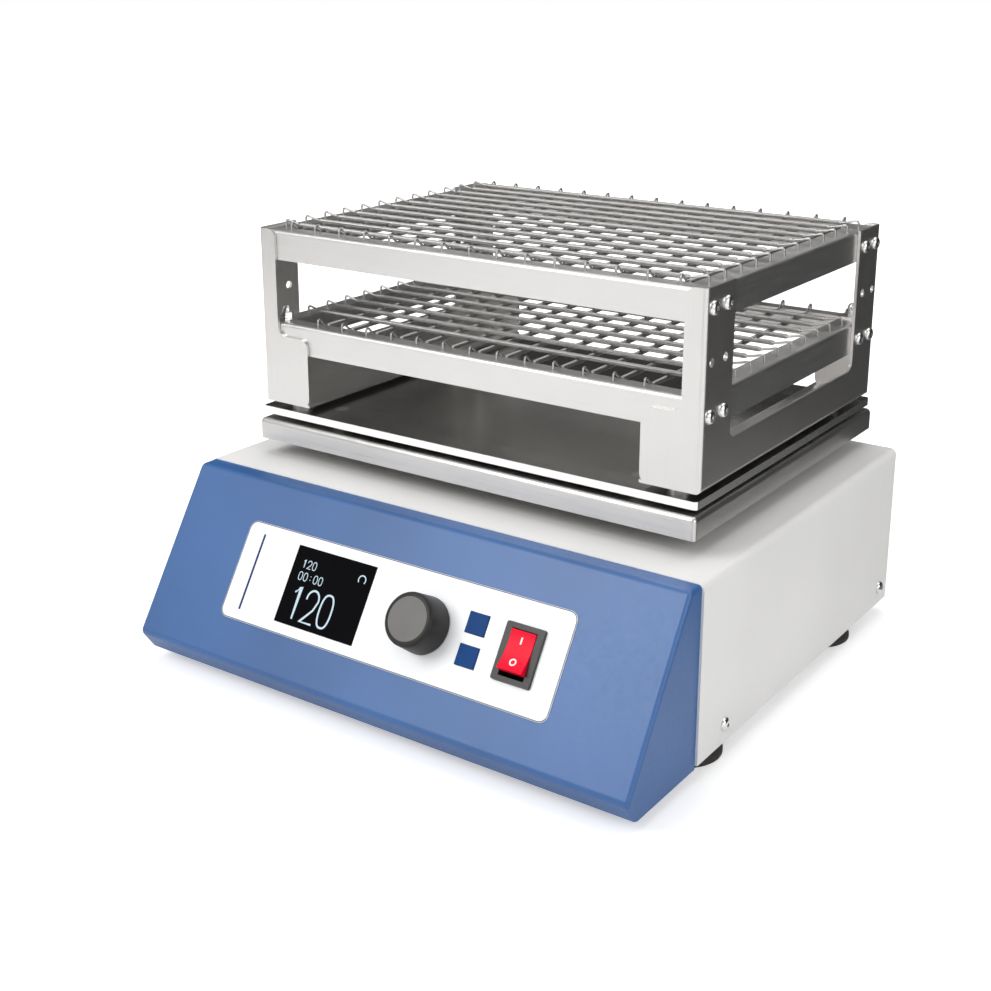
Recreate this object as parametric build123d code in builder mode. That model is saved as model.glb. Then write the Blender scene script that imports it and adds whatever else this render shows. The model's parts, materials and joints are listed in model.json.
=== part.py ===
from build123d import *
from math import hypot, pi
import os

# Orbital shaker with a two-tier rack of spring strands, in millimetres.
# x runs to the right, y to the back and z up. The origin is on the table,
# under the middle of the base.

# Housing: a folded cover over a shallow base tray
HOUSING_WIDTH = 382.2
HOUSING_DEPTH = 294.9
HOUSING_HEIGHT = 113.0
SHEET = 1.5
BEND = 4.5
BASE_SHEET = 2.0
BASE_LIP = 24.0
SHEET_GAP = 0.3
SIDE_SCREW_FRONT = 33.3
SIDE_SCREW_BACK = 18.4
SIDE_SCREW_HEIGHT = 12.3

# Feet
FOOT_HEIGHT = 12.2
FOOT_SPREAD = 326.0
FOOT_FRONT = 33.8
FOOT_BACK = 66.1
FOOT_DIAMETER = 50.0
FOOT_NECK = 34.0

# Sloped control panel
PANEL_SIDE_STEP = 1.5
PANEL_REACH = 76.8
PANEL_SHELF = 12.1
PANEL_STEP = 0.5
TOE_HEIGHT = 23.3
UNDERSIDE_HEIGHT = 8.0
TOE_RETURN = 10.8
PANEL_EDGE = 2.5
PANEL_TONGUE = 8.0
PANEL_FLANGE = 22.0

# Controls, placed across the panel and about the middle of its slope
OVERLAY_WIDTH = 255.0
OVERLAY_HEIGHT = 65.5
OVERLAY_CORNER = 6.0
OVERLAY = 0.6
DISPLAY_X = -50.15
DISPLAY_WIDTH = 64.5
DISPLAY_HEIGHT = 50.4
KNOB_X = 29.2
KNOB_DIAMETER = 36.0
KNOB_FACE = 32.5
KNOB_HEIGHT = 20.0
KNOB_GAP = 0.8
KNOB_WALL = 2.5
ENCODER_BUSH = 9.0
ENCODER_SHAFT = 6.0
KEY_X = 64.3
KEY_WIDTH = 14.5
KEY_HEIGHT = 13.2
KEY_PITCH = 19.7
KEY_RISE = 0.8
KEY_TRAVEL = 0.5
SWITCH_X = 97.7
BEZEL_WIDTH = 27.0
BEZEL_HEIGHT = 35.2
BEZEL_RISE = 2.0
SWITCH_DEPTH = 20.0
ROCKER_WIDTH = 17.0
ROCKER_HALF = 12.2
ROCKER_RISE = 10.0
ROCKER_TILT = 9.0
ROCKER_PIVOT_DEPTH = 5.0
BOARD_DEPTH = 9.0
BOARD = 1.6
PART_GAP = 0.3

# Orbital drive
TABLE_SETBACK = 159.8
ORBIT = 5.0
FIT = 0.05
BRIDGE_WIDTH = 346.0
BRIDGE_DEPTH = 216.0
BRIDGE = 8.0
BRIDGE_HEADROOM = 15.7
PILLAR = 16.0
SHAFT = 15.0
SHAFT_DROP = 58.0
MAIN_BEARING = 32.0
MAIN_BEARING_WIDTH = 9.0
MAIN_HOUSING = 44.0
MAIN_FLANGE = 72.0
DISC_LIFT = 2.8
DISC_DIAMETER = 64.0
DISC = 8.0
CRANK_PIN = 12.0
CARRIER_BEARING = 28.0
CARRIER_BEARING_WIDTH = 8.0
CARRIER_HUB = 46.0
CARRIER_FLANGE = 80.0
HUB_GAP = 2.0
IDLER_SPREAD = 260.0
IDLER_DEPTH = 176.0
IDLER_SHAFT = 8.0
IDLER_BEARING = 22.0
IDLER_DISC = 30.0
IDLER_DISC_THICKNESS = 6.0
IDLER_PLAY = 0.3
IDLER_BUSH = 20.0
COUNTERWEIGHT_RADIUS = 55.0
COUNTERWEIGHT = 18.0

# Belt drive
MOTOR_SETBACK = 90.0
MOTOR_DIAMETER = 60.0
MOTOR_LENGTH = 43.8
MOTOR_SHAFT = 8.0
BRACKET = 3.0
BELT_PITCH = 5.0
MOTOR_TEETH = 16
CRANK_TEETH = 48
BELT = 2.2
BELT_WIDTH = 10.0
PULLEY_WIDTH = 14.0
SUPPLY_X = 106.5
SUPPLY_SETBACK = 67.0
SUPPLY_WIDTH = 97.0
SUPPLY_DEPTH = 99.0
SUPPLY_HEIGHT = 36.0
DRIVER_WIDTH = 94.0
DRIVER_DEPTH = 74.0
DRIVER_STANDOFF = 8.0
DRIVER_CORNER = 5.0
HEATSINK = 34.0
HEATSINK_HEIGHT = 22.0
HEATSINK_FIN = 3.0
HEATSINK_PITCH = 9.0
HEATSINK_FINS = 6

# Tray and platform plate
TRAY_WIDTH = 340.0
TRAY_DEPTH = 266.0
TRAY_HEIGHT = 14.6
TRAY_SHEET = 2.0
TRAY_BEND = 3.5
TRAY_CLEARANCE = 11.7
PLATE_WIDTH = 338.0
PLATE_DEPTH = 260.0
PLATE = 5.0
PLATE_GAP = 3.3
PLATE_SCREW_X = 118.0
PLATE_SCREW_Y = 106.0

# Flask rack
RACK_WIDTH = 338.0
RACK_DEPTH = 254.0
RACK_HEIGHT = 120.7
RACK_SHEET = 2.0
RACK_BEND = 3.0
RACK_GAP = 3.5
RACK_FLANGE = 14.0
RACK_FOOT = 40.0
RACK_FOOT_HEIGHT = 47.4
WINDOW_SILL = 25.1
POST_WIDTH = 35.0
RACK_BOLT_INSET_X = 21.0
RACK_BOLT_INSET_Y = 15.0
FRAME_SHEET = 1.5
FRAME_HEIGHT = 20.0
FRAME_SEAT = 0.15
SIDE_FLANGE = 15.0
END_FLANGE = 12.5
UPPER_DROP = 1.0
TIER_DROP = 63.5
SCREW_DROP = 11.0
SCREW_INSET = 8.3
SCREW_PITCH = 17.0
RACK_HOLE = 5.5

# Spring strands
ROD = 3.3
WIRE = 1.3
FOOT_INSET = 6.5
HOOK_APEX = 5.0
CROSS_REACH = 11.5
ALONG_REACH = 8.6
CROSS_HEIGHT = 2.2
STRAND_GAP = 0.1
UPPER_ALONG = 15
UPPER_CROSS = 12
UPPER_CROSS_PITCH = 19.8
LOWER_ALONG = 13
LOWER_CROSS = 10
LOWER_CROSS_PITCH = 20.0
ALONG_PITCH = 21.0
WIRE_HOLE = 2.4
TAB = 15.0
TAB_INSET_X = 9.0
TAB_INSET_Y = 10.5

# Mains inlet
INLET_X = -120.0
INLET_HEIGHT = 40.0
INLET_WIDTH = 50.0
INLET_TALL = 24.0
INLET_PROUD = 1.5
INLET_DEPTH = 22.0
INLET_SCREW_PITCH = 40.0

# Screws
SCREW = 5.0
SCREW_HEAD = 9.0
SCREW_RISE = 2.6
NUT_FLATS = 8.0
NUT = 4.0
SMALL_SCREW = 4.0
SMALL_HEAD = 8.0
SMALL_RISE = 2.4
HOLE_PLAY = 0.5

# Places that follow from the sizes
overall_depth = PANEL_REACH + HOUSING_DEPTH + INLET_PROUD
panel_toe = -overall_depth / 2
housing_front = panel_toe + PANEL_REACH
housing_back = housing_front + HOUSING_DEPTH
housing_middle = (housing_front + housing_back) / 2
housing_bottom = FOOT_HEIGHT
housing_top = housing_bottom + HOUSING_HEIGHT
half_width = HOUSING_WIDTH / 2
inner_half = half_width - SHEET
base_top = housing_bottom + BASE_SHEET
base_half = inner_half - SHEET_GAP
panel_width = HOUSING_WIDTH - 2 * PANEL_SIDE_STEP
base_front = housing_front + SHEET_GAP
base_back = housing_back - SHEET - SHEET_GAP
table_y = housing_front + TABLE_SETBACK
crank_y = table_y - ORBIT
motor_y = crank_y - MOTOR_SETBACK
bridge_top = housing_top - SHEET - BRIDGE_HEADROOM
bridge_bottom = bridge_top - BRIDGE
disc_bottom = housing_top + DISC_LIFT
tray_bottom = housing_top + TRAY_CLEARANCE
tray_top = tray_bottom + TRAY_HEIGHT
tray_under = tray_top - TRAY_SHEET
plate_bottom = tray_top + PLATE_GAP
plate_top = plate_bottom + PLATE
rack_bottom = plate_top + RACK_GAP
rack_top = rack_bottom + RACK_HEIGHT
upper_top = rack_top - UPPER_DROP
lower_top = upper_top - TIER_DROP


def turned(*half_section):
    """A solid turned about z from its half section, points of (radius, height)."""
    with BuildPart() as blank:
        with BuildSketch(Plane.XZ):
            with BuildLine():
                Polyline(*half_section, close=True)
            make_face()
        revolve(axis=Axis.Z)
    return blank.part


def ring(outer, bore, bottom, top):
    """A plain ring about z."""
    return turned((bore / 2, bottom), (outer / 2, bottom), (outer / 2, top), (bore / 2, top))


def button_screw(shank, head, rise, length):
    """A screw along z: its domed head stands on z = 0 and its shank hangs below."""
    return turned(
        (0, -length),
        (shank / 2, -length),
        (shank / 2, 0),
        (head / 2, 0),
        (head * 0.44, rise * 0.55),
        (head * 0.25, rise),
        (0, rise),
    )


def sunk_screw(shank, head, length):
    """A countersunk screw along z with its flat head level with z = 0."""
    cone = (head - shank) / 2
    return turned((0, -length), (shank / 2, -length), (shank / 2, -cone), (head / 2, 0), (0, 0))


def hex_nut(flats, bore, height):
    """A hexagon nut on z = 0, with two flats facing along y."""
    with BuildPart() as nut:
        with BuildSketch():
            RegularPolygon(flats / 2, 6, major_radius=False)
            Circle(bore / 2, mode=Mode.SUBTRACT)
        extrude(amount=height)
    return nut.part


def four(half_x, half_y, y=0.0, z=0.0):
    """The four corners of a rectangle centred on x = 0 and the given y."""
    return [(sx * half_x, y + sy * half_y, z) for sx in (-1, 1) for sy in (-1, 1)]


# Slope of the panel: local x across it, local y up it and local z out of it
slope_run = PANEL_REACH - PANEL_SHELF
slope_rise = HOUSING_HEIGHT + FOOT_HEIGHT - PANEL_STEP - TOE_HEIGHT
slope = Plane(origin=(0, panel_toe, TOE_HEIGHT), x_dir=(1, 0, 0), z_dir=(0, -slope_rise, slope_run))
slope_middle = hypot(slope_run, slope_rise) / 2


def on_slope(x, up=0.0, out=0.0):
    """The panel's plane at a place: across, up from the middle of the slope, and out."""
    place = slope.from_local_coords((x, slope_middle + up, out))
    return Plane(origin=place, x_dir=slope.x_dir, z_dir=slope.z_dir)


# Housing cover: open below and at the front, rounded along its folds
side_screws = [
    (housing_front + SIDE_SCREW_FRONT, housing_bottom + SIDE_SCREW_HEIGHT),
    (housing_back - SIDE_SCREW_BACK, housing_bottom + SIDE_SCREW_HEIGHT),
]
idler_axes = four(IDLER_SPREAD / 2, IDLER_DEPTH / 2, crank_y)
inlet_place = (INLET_X, housing_bottom + INLET_HEIGHT)
inlet_screws = [(INLET_X + side * INLET_SCREW_PITCH / 2, inlet_place[1]) for side in (-1, 1)]

with BuildPart() as housing_shell:
    with BuildSketch(Plane.XY.offset(housing_bottom)):
        with Locations((0, housing_middle)):
            Rectangle(HOUSING_WIDTH, HOUSING_DEPTH)
    extrude(amount=HOUSING_HEIGHT)
    top_folds = housing_shell.edges().group_by(Axis.Z)[-1].sort_by(Axis.Y)[1:]
    rear_folds = housing_shell.edges().filter_by(Axis.Z).group_by(Axis.Y)[-1]
    fillet(top_folds + rear_folds, BEND)
    open_faces = [housing_shell.faces().sort_by(Axis.Z)[0], housing_shell.faces().sort_by(Axis.Y)[0]]
    offset(amount=-SHEET, openings=open_faces)
    with BuildSketch(Plane.XY.offset(housing_top)):
        with Locations((0, crank_y)):
            Circle(MAIN_HOUSING / 2)
        with Locations(*idler_axes):
            Circle(IDLER_BEARING / 2)
    extrude(amount=-2 * SHEET, mode=Mode.SUBTRACT)
    with BuildSketch(Plane.YZ):
        with Locations(*side_screws):
            Circle((SMALL_SCREW + HOLE_PLAY) / 2)
    extrude(amount=half_width, both=True, mode=Mode.SUBTRACT)
    with BuildSketch(Plane.XZ.offset(-housing_back)):
        with Locations(inlet_place):
            Rectangle(INLET_WIDTH - 20, INLET_TALL - 2)
        with Locations(*inlet_screws):
            Circle((SMALL_SCREW + HOLE_PLAY) / 2)
    extrude(amount=2 * SHEET, mode=Mode.SUBTRACT)
housing_shell.part.label = "housing_shell"

# Base tray inside the cover, with its lips turned up
feet = [
    (sx * FOOT_SPREAD / 2, y)
    for sx in (-1, 1)
    for y in (housing_front + FOOT_FRONT, housing_back - FOOT_BACK)
]
panel_screws = [(x * panel_width / 3, housing_bottom + PANEL_FLANGE / 3) for x in (-1, 0, 1)]

with BuildPart() as base_plate:
    with BuildSketch(Plane.XY.offset(housing_bottom)):
        with Locations((0, (base_front + base_back) / 2)):
            Rectangle(2 * base_half, base_back - base_front)
    extrude(amount=BASE_LIP)
    fillet(base_plate.edges().filter_by(Axis.Z).group_by(Axis.Y)[-1], BEND)
    fillet(base_plate.edges().group_by(Axis.Z)[0], BASE_SHEET + 1)
    offset(amount=-BASE_SHEET, openings=base_plate.faces().sort_by(Axis.Z)[-1])
    with BuildSketch(Plane.XY.offset(housing_bottom)):
        with Locations(*feet):
            Circle((SMALL_SCREW + HOLE_PLAY) / 2)
    extrude(amount=BASE_SHEET, mode=Mode.SUBTRACT)
    with BuildSketch(Plane.YZ):
        with Locations(*side_screws):
            Circle(SMALL_SCREW / 2 + FIT)
    extrude(amount=half_width, both=True, mode=Mode.SUBTRACT)
    with BuildSketch(Plane.XZ.offset(-housing_front)):
        with Locations(*panel_screws):
            Circle(SMALL_SCREW / 2 + FIT)
    extrude(amount=-2 * BASE_SHEET, mode=Mode.SUBTRACT)
base_plate.part.label = "base_plate"

# Cushion feet with a hollow sole, screwed from below
foot_seat = FOOT_HEIGHT / 2
with BuildPart() as foot_blank:
    with BuildSketch(Plane.XZ):
        with BuildLine():
            Polyline(
                (FOOT_NECK / 2, FOOT_HEIGHT * 0.7),
                (FOOT_NECK / 2, FOOT_HEIGHT),
                (SMALL_SCREW / 2 + FIT, FOOT_HEIGHT),
                (SMALL_SCREW / 2 + FIT, foot_seat),
                (SMALL_HEAD / 2 + 1, foot_seat),
                (SMALL_HEAD / 2 + 1, FOOT_HEIGHT * 0.25),
                (FOOT_DIAMETER / 2 - 4, 0),
                (FOOT_DIAMETER / 2, 0),
                (FOOT_DIAMETER / 2, FOOT_HEIGHT * 0.2),
            )
            RadiusArc((FOOT_DIAMETER / 2, FOOT_HEIGHT * 0.2), (FOOT_NECK / 2, FOOT_HEIGHT * 0.7), -12)
        make_face()
    revolve(axis=Axis.Z)

with BuildPart() as rubber_feet:
    with Locations(*feet):
        add(foot_blank.part)
rubber_feet.part.label = "rubber_feet"

foot_screw = button_screw(SMALL_SCREW, SMALL_HEAD, SMALL_RISE, base_top + NUT - foot_seat)
with BuildPart() as foot_fixings:
    with Locations(*[Location((x, y, foot_seat), (180, 0, 0)) for x, y in feet]):
        add(foot_screw)
    with Locations(*[(x, y, base_top) for x, y in feet]):
        add(hex_nut(NUT_FLATS, SMALL_SCREW + 2 * FIT, NUT))
foot_fixings.part.label = "foot_fixings"

cover_screw = button_screw(SMALL_SCREW, SCREW_HEAD, SCREW_RISE, SHEET + SHEET_GAP + BASE_SHEET + 3)
with BuildPart() as housing_screws:
    with Locations(
        *[Location((half_width, y, z), (0, 90, 0)) for y, z in side_screws],
        *[Location((-half_width, y, z), (0, -90, 0)) for y, z in side_screws],
        *[Location((x, housing_front - SHEET, z), (90, 0, 0)) for x, z in panel_screws],
    ):
        add(cover_screw)
housing_screws.part.label = "housing_screws"

# Sloped control panel: a folded wedge, open at the back, with a tongue that
# tucks into the housing and a flange screwed to the base tray
panel_top = housing_top - PANEL_STEP
keys = [KEY_PITCH / 2, -KEY_PITCH / 2]

with BuildPart() as front_panel:
    with BuildSketch(Plane.YZ):
        with BuildLine():
            Polyline(
                (housing_front, panel_top),
                (housing_front - PANEL_SHELF, panel_top),
                (panel_toe, TOE_HEIGHT),
                (panel_toe + TOE_RETURN, UNDERSIDE_HEIGHT),
                (housing_front, UNDERSIDE_HEIGHT),
                close=True,
            )
        make_face()
        fillet(vertices().sort_by(Axis.X)[:3], BEND)
    extrude(amount=panel_width / 2, both=True)
    for side in (front_panel.faces().sort_by(Axis.X)[0], front_panel.faces().sort_by(Axis.X)[-1]):
        fillet(side.edges().sort_by(Axis.Y)[:-1], PANEL_EDGE)
    offset(amount=-SHEET, openings=front_panel.faces().sort_by(Axis.Y)[-1])
    with BuildSketch(Plane.XZ.offset(-housing_front - PANEL_TONGUE)):
        tongue_bottom = housing_bottom + BASE_LIP + SHEET_GAP
        tongue_top = housing_top - SHEET - SHEET_GAP
        tongue_half = inner_half - SHEET_GAP
        with Locations((0, (tongue_bottom + tongue_top) / 2)):
            Rectangle(2 * tongue_half, tongue_top - tongue_bottom)
        fillet(vertices().group_by(Axis.Y)[-1], BEND)
        with Locations((0, (tongue_bottom + tongue_top) / 2 - SHEET)):
            Rectangle(2 * (tongue_half - SHEET), tongue_top - tongue_bottom, mode=Mode.SUBTRACT)
    extrude(amount=PANEL_TONGUE + 2 * SHEET)
    with BuildSketch(Plane.XZ.offset(-housing_front)):
        with Locations((0, UNDERSIDE_HEIGHT + PANEL_FLANGE / 2)):
            Rectangle(panel_width - 2 * BEND, PANEL_FLANGE)
        with Locations(*panel_screws):
            Circle((SMALL_SCREW + HOLE_PLAY) / 2, mode=Mode.SUBTRACT)
    extrude(amount=SHEET)
    with BuildSketch(on_slope(0)):
        with Locations((DISPLAY_X, 0)):
            Rectangle(DISPLAY_WIDTH + HOLE_PLAY, DISPLAY_HEIGHT + HOLE_PLAY)
        with Locations((KNOB_X, 0)):
            Circle((ENCODER_BUSH + HOLE_PLAY) / 2)
        with Locations(*[(KEY_X, key) for key in keys]):
            Rectangle(KEY_WIDTH, KEY_HEIGHT)
        with Locations((SWITCH_X, 0)):
            Rectangle(BEZEL_WIDTH - 4, BEZEL_HEIGHT - 4)
    extrude(amount=-2 * SHEET, mode=Mode.SUBTRACT)
front_panel.part.label = "front_panel"

# Overlay film on the slope, with its windows
with BuildPart() as control_overlay:
    with BuildSketch(on_slope(0)):
        RectangleRounded(OVERLAY_WIDTH, OVERLAY_HEIGHT, OVERLAY_CORNER)
        with Locations((DISPLAY_X, 0)):
            Rectangle(DISPLAY_WIDTH + HOLE_PLAY, DISPLAY_HEIGHT + HOLE_PLAY, mode=Mode.SUBTRACT)
        with Locations((KNOB_X, 0)):
            Circle((ENCODER_BUSH + HOLE_PLAY) / 2, mode=Mode.SUBTRACT)
        with Locations(*[(KEY_X, key) for key in keys]):
            Rectangle(KEY_WIDTH, KEY_HEIGHT, mode=Mode.SUBTRACT)
        with Locations((SWITCH_X, 0)):
            Rectangle(BEZEL_WIDTH - 4, BEZEL_HEIGHT - 4, mode=Mode.SUBTRACT)
    extrude(amount=OVERLAY)
control_overlay.part.label = "control_overlay"

with BuildPart() as display_window:
    with BuildSketch(on_slope(DISPLAY_X, 0, -SHEET)):
        Rectangle(DISPLAY_WIDTH, DISPLAY_HEIGHT)
    extrude(amount=SHEET + OVERLAY)
display_window.part.label = "display_window"

with BuildPart() as display_module:
    with BuildSketch(on_slope(DISPLAY_X, 0, -SHEET)):
        Rectangle(DISPLAY_WIDTH + 8, DISPLAY_HEIGHT + 8)
    extrude(amount=-(BOARD_DEPTH - SHEET) / 2)
display_module.part.label = "display_module"

# Electronics board behind the slope, on four spacers, with the key switches
board_left = DISPLAY_X - DISPLAY_WIDTH / 2 - 10
board_right = SWITCH_X - BEZEL_WIDTH / 2 - 2
board_middle = (board_left + board_right) / 2
spacer_places = four((board_right - board_left) / 2 - 4, DISPLAY_HEIGHT / 2 + 7)
with BuildPart() as control_board:
    with BuildSketch(on_slope(board_middle, 0, -BOARD_DEPTH)):
        Rectangle(board_right - board_left, DISPLAY_HEIGHT + 20)
        with Locations(*[(x, y) for x, y, z in spacer_places]):
            Circle(1.6, mode=Mode.SUBTRACT)
    extrude(amount=-BOARD)
    with BuildSketch(on_slope(KEY_X, 0, -BOARD_DEPTH)):
        with Locations(*[(0, key) for key in keys]):
            Rectangle(6, 6)
    extrude(amount=3.5)
control_board.part.label = "control_board"

key_flange = SHEET + PART_GAP
key_stem = BOARD_DEPTH - 4.5

def key_cap(up):
    """A square key: its cap in the panel's window, a retaining rim behind it and a stem."""
    with BuildPart() as cap:
        with BuildSketch(on_slope(KEY_X, up, -key_flange)):
            Rectangle(KEY_WIDTH - 2 * PART_GAP, KEY_HEIGHT - 2 * PART_GAP)
        extrude(amount=key_flange + OVERLAY + KEY_RISE)
        crown = cap.edges().sort_by(lambda edge: slope.to_local_coords(edge.center()).Z)[-4:]
        fillet(crown, KEY_RISE / 2)
        with BuildSketch(on_slope(KEY_X, up, -key_flange)):
            Rectangle(KEY_WIDTH + 2, KEY_HEIGHT + 2)
        extrude(amount=-1)
        with BuildSketch(on_slope(KEY_X, up, -key_flange)):
            Circle(2)
        extrude(amount=-(key_stem - key_flange))
    return cap.part


with BuildPart() as key_upper:
    add(key_cap(keys[0]))
key_upper.part.label = "key_upper"

with BuildPart() as key_lower:
    add(key_cap(keys[1]))
key_lower.part.label = "key_lower"

# Rotary encoder and its knob
encoder_face = -SHEET
encoder_body_end = -BOARD_DEPTH
bush_top = OVERLAY + 5
shaft_top = OVERLAY + KNOB_HEIGHT - KNOB_WALL - 2
with BuildPart() as encoder_body:
    with BuildSketch(on_slope(KNOB_X, 0, encoder_body_end)):
        Rectangle(13, 13)
    extrude(amount=encoder_face - encoder_body_end)
    with BuildSketch(on_slope(KNOB_X, 0, encoder_face)):
        Circle(ENCODER_BUSH / 2)
    extrude(amount=bush_top - encoder_face)
    with BuildSketch(on_slope(KNOB_X, 0, bush_top)):
        Circle(ENCODER_SHAFT / 2 + FIT)
    extrude(amount=encoder_body_end - bush_top + 1, mode=Mode.SUBTRACT)
    with Locations(on_slope(KNOB_X, 0, OVERLAY)):
        add(hex_nut(14, ENCODER_BUSH + 2 * FIT, 2))
encoder_body.part.label = "encoder_body"

knob_blank = turned(
    (ENCODER_SHAFT / 2 + FIT, bush_top + 1),
    (ENCODER_SHAFT / 2 + 3, bush_top + 1),
    (ENCODER_SHAFT / 2 + 3, OVERLAY + KNOB_HEIGHT - KNOB_WALL),
    (KNOB_FACE / 2 - KNOB_WALL, OVERLAY + KNOB_HEIGHT - KNOB_WALL),
    (KNOB_DIAMETER / 2 - KNOB_WALL, OVERLAY + KNOB_GAP),
    (KNOB_DIAMETER / 2, OVERLAY + KNOB_GAP),
    (KNOB_FACE / 2, OVERLAY + KNOB_HEIGHT - 1.4),
    (KNOB_FACE / 2 - 0.5, OVERLAY + KNOB_HEIGHT - 1.1),
    (KNOB_FACE / 2 - 0.1, OVERLAY + KNOB_HEIGHT - 0.8),
    (KNOB_FACE / 2 - 0.8, OVERLAY + KNOB_HEIGHT),
    (0, OVERLAY + KNOB_HEIGHT),
    (0, shaft_top + FIT),
    (ENCODER_SHAFT / 2 + FIT, shaft_top + FIT),
)
with BuildPart() as knob:
    with Locations(on_slope(KNOB_X)):
        add(knob_blank)
knob.part.label = "knob"

with BuildPart() as encoder_shaft:
    with BuildSketch(on_slope(KNOB_X, 0, encoder_body_end + 1.5)):
        Circle(ENCODER_SHAFT / 2)
    extrude(amount=shaft_top - encoder_body_end - 1.5)
encoder_shaft.part.label = "encoder_shaft"

# Power switch: a bezel and body with a recess, and the rocker on its pins
bezel_top = OVERLAY + BEZEL_RISE
recess_half = ROCKER_HALF + 2
pivot = on_slope(SWITCH_X, 0, OVERLAY - ROCKER_PIVOT_DEPTH).origin
pivot_plane = Plane(origin=pivot, x_dir=slope.y_dir, z_dir=(1, 0, 0))
with BuildPart() as power_switch:
    with BuildSketch(on_slope(SWITCH_X, 0, OVERLAY)):
        RectangleRounded(BEZEL_WIDTH, BEZEL_HEIGHT, 1.5)
    extrude(amount=BEZEL_RISE, taper=8)
    with BuildSketch(on_slope(SWITCH_X, 0, OVERLAY)):
        Rectangle(BEZEL_WIDTH - 4 - HOLE_PLAY, BEZEL_HEIGHT - 4 - HOLE_PLAY)
    extrude(amount=-SWITCH_DEPTH)
    with BuildSketch(on_slope(SWITCH_X, 0, bezel_top)):
        Rectangle(ROCKER_WIDTH + 2 * PART_GAP, 2 * recess_half)
    extrude(amount=-(SWITCH_DEPTH + BEZEL_RISE - 3), mode=Mode.SUBTRACT)
    with BuildSketch(pivot_plane):
        Circle(1.5 + FIT)
    extrude(amount=ROCKER_WIDTH / 2 + 2, both=True, mode=Mode.SUBTRACT)
    with BuildSketch(on_slope(SWITCH_X, 0, OVERLAY - SWITCH_DEPTH)):
        with Locations((0, -9), (0, 0), (0, 9)):
            Rectangle(6.3, 0.8)
    extrude(amount=-8)
power_switch.part.label = "power_switch"

with BuildPart() as power_rocker:
    with BuildSketch(Plane(pivot_plane.location * Location((0, 0, 0), (0, 0, -ROCKER_TILT)))):
        with BuildLine():
            Polyline(
                (ROCKER_HALF, ROCKER_RISE),
                (ROCKER_HALF, ROCKER_RISE * 0.4),
                (ROCKER_HALF / 2, -ROCKER_RISE * 0.8),
                (-ROCKER_HALF / 2, -ROCKER_RISE * 0.8),
                (-ROCKER_HALF, ROCKER_RISE * 0.4),
                (-ROCKER_HALF, ROCKER_RISE),
            )
            ThreePointArc((-ROCKER_HALF, ROCKER_RISE), (0, ROCKER_RISE * 0.8), (ROCKER_HALF, ROCKER_RISE))
        make_face()
    extrude(amount=ROCKER_WIDTH / 2, both=True)
    with BuildSketch(pivot_plane):
        Circle(1.5)
    extrude(amount=ROCKER_WIDTH / 2 + 1.5, both=True)
power_rocker.part.label = "power_rocker"

# Power supply and motor driver on the base tray
with BuildPart() as power_supply:
    with BuildSketch(Plane.XY.offset(base_top)):
        with Locations((-SUPPLY_X, crank_y - SUPPLY_SETBACK)):
            Rectangle(SUPPLY_WIDTH, SUPPLY_DEPTH)
    extrude(amount=SUPPLY_HEIGHT)
    fillet(power_supply.edges().filter_by(Axis.Y), 1.5)
power_supply.part.label = "power_supply"

driver_middle = (SUPPLY_X, crank_y - SUPPLY_SETBACK)
driver_half_x = DRIVER_WIDTH / 2 - DRIVER_CORNER
driver_half_y = DRIVER_DEPTH / 2 - DRIVER_CORNER
driver_posts = [(x + driver_middle[0], y) for x, y, z in four(driver_half_x, driver_half_y, driver_middle[1])]
with BuildPart() as board_spacers:
    with BuildSketch(on_slope(board_middle, 0, -BOARD_DEPTH)):
        with Locations(*[(x, y) for x, y, z in spacer_places]):
            RegularPolygon(2.8, 6)
    extrude(amount=BOARD_DEPTH - SHEET)
    with BuildSketch(Plane.XY.offset(base_top)):
        with Locations(*driver_posts):
            RegularPolygon(3, 6)
    extrude(amount=DRIVER_STANDOFF)
board_spacers.part.label = "board_spacers"

with BuildPart() as motor_driver:
    with BuildSketch(Plane.XY.offset(base_top + DRIVER_STANDOFF)):
        with Locations(driver_middle):
            Rectangle(DRIVER_WIDTH, DRIVER_DEPTH)
    extrude(amount=BOARD)
    with BuildSketch(Plane.XY.offset(base_top + DRIVER_STANDOFF + BOARD)):
        with Locations((driver_middle[0] - DRIVER_WIDTH / 2 + DRIVER_CORNER + HEATSINK / 2, driver_middle[1])):
            with GridLocations(HEATSINK, HEATSINK_PITCH, 1, HEATSINK_FINS):
                Rectangle(HEATSINK, HEATSINK_FIN)
    extrude(amount=HEATSINK_HEIGHT)
motor_driver.part.label = "motor_driver"

# Bearing bridge on its pillars
pillar_places = four(BRIDGE_WIDTH / 2 - PILLAR / 2, BRIDGE_DEPTH / 2 - PILLAR / 2, crank_y)
with BuildPart() as bridge_pillars:
    with BuildSketch(Plane.XY.offset(base_top)):
        with Locations(*pillar_places):
            Circle(PILLAR / 2)
    extrude(amount=bridge_bottom - base_top)
bridge_pillars.part.label = "bridge_pillars"

with BuildPart() as bearing_bridge:
    with BuildSketch(Plane.XY.offset(bridge_bottom)):
        with Locations((0, crank_y)):
            RectangleRounded(BRIDGE_WIDTH, BRIDGE_DEPTH, PILLAR / 2)
            Circle(MAIN_HOUSING / 2 + FIT, mode=Mode.SUBTRACT)
        with Locations(*idler_axes):
            Circle(IDLER_BEARING / 2 + 3 + FIT, mode=Mode.SUBTRACT)
        with Locations((0, motor_y)):
            Circle(MOTOR_DIAMETER / 3, mode=Mode.SUBTRACT)
    extrude(amount=BRIDGE)
bearing_bridge.part.label = "bearing_bridge"

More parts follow.
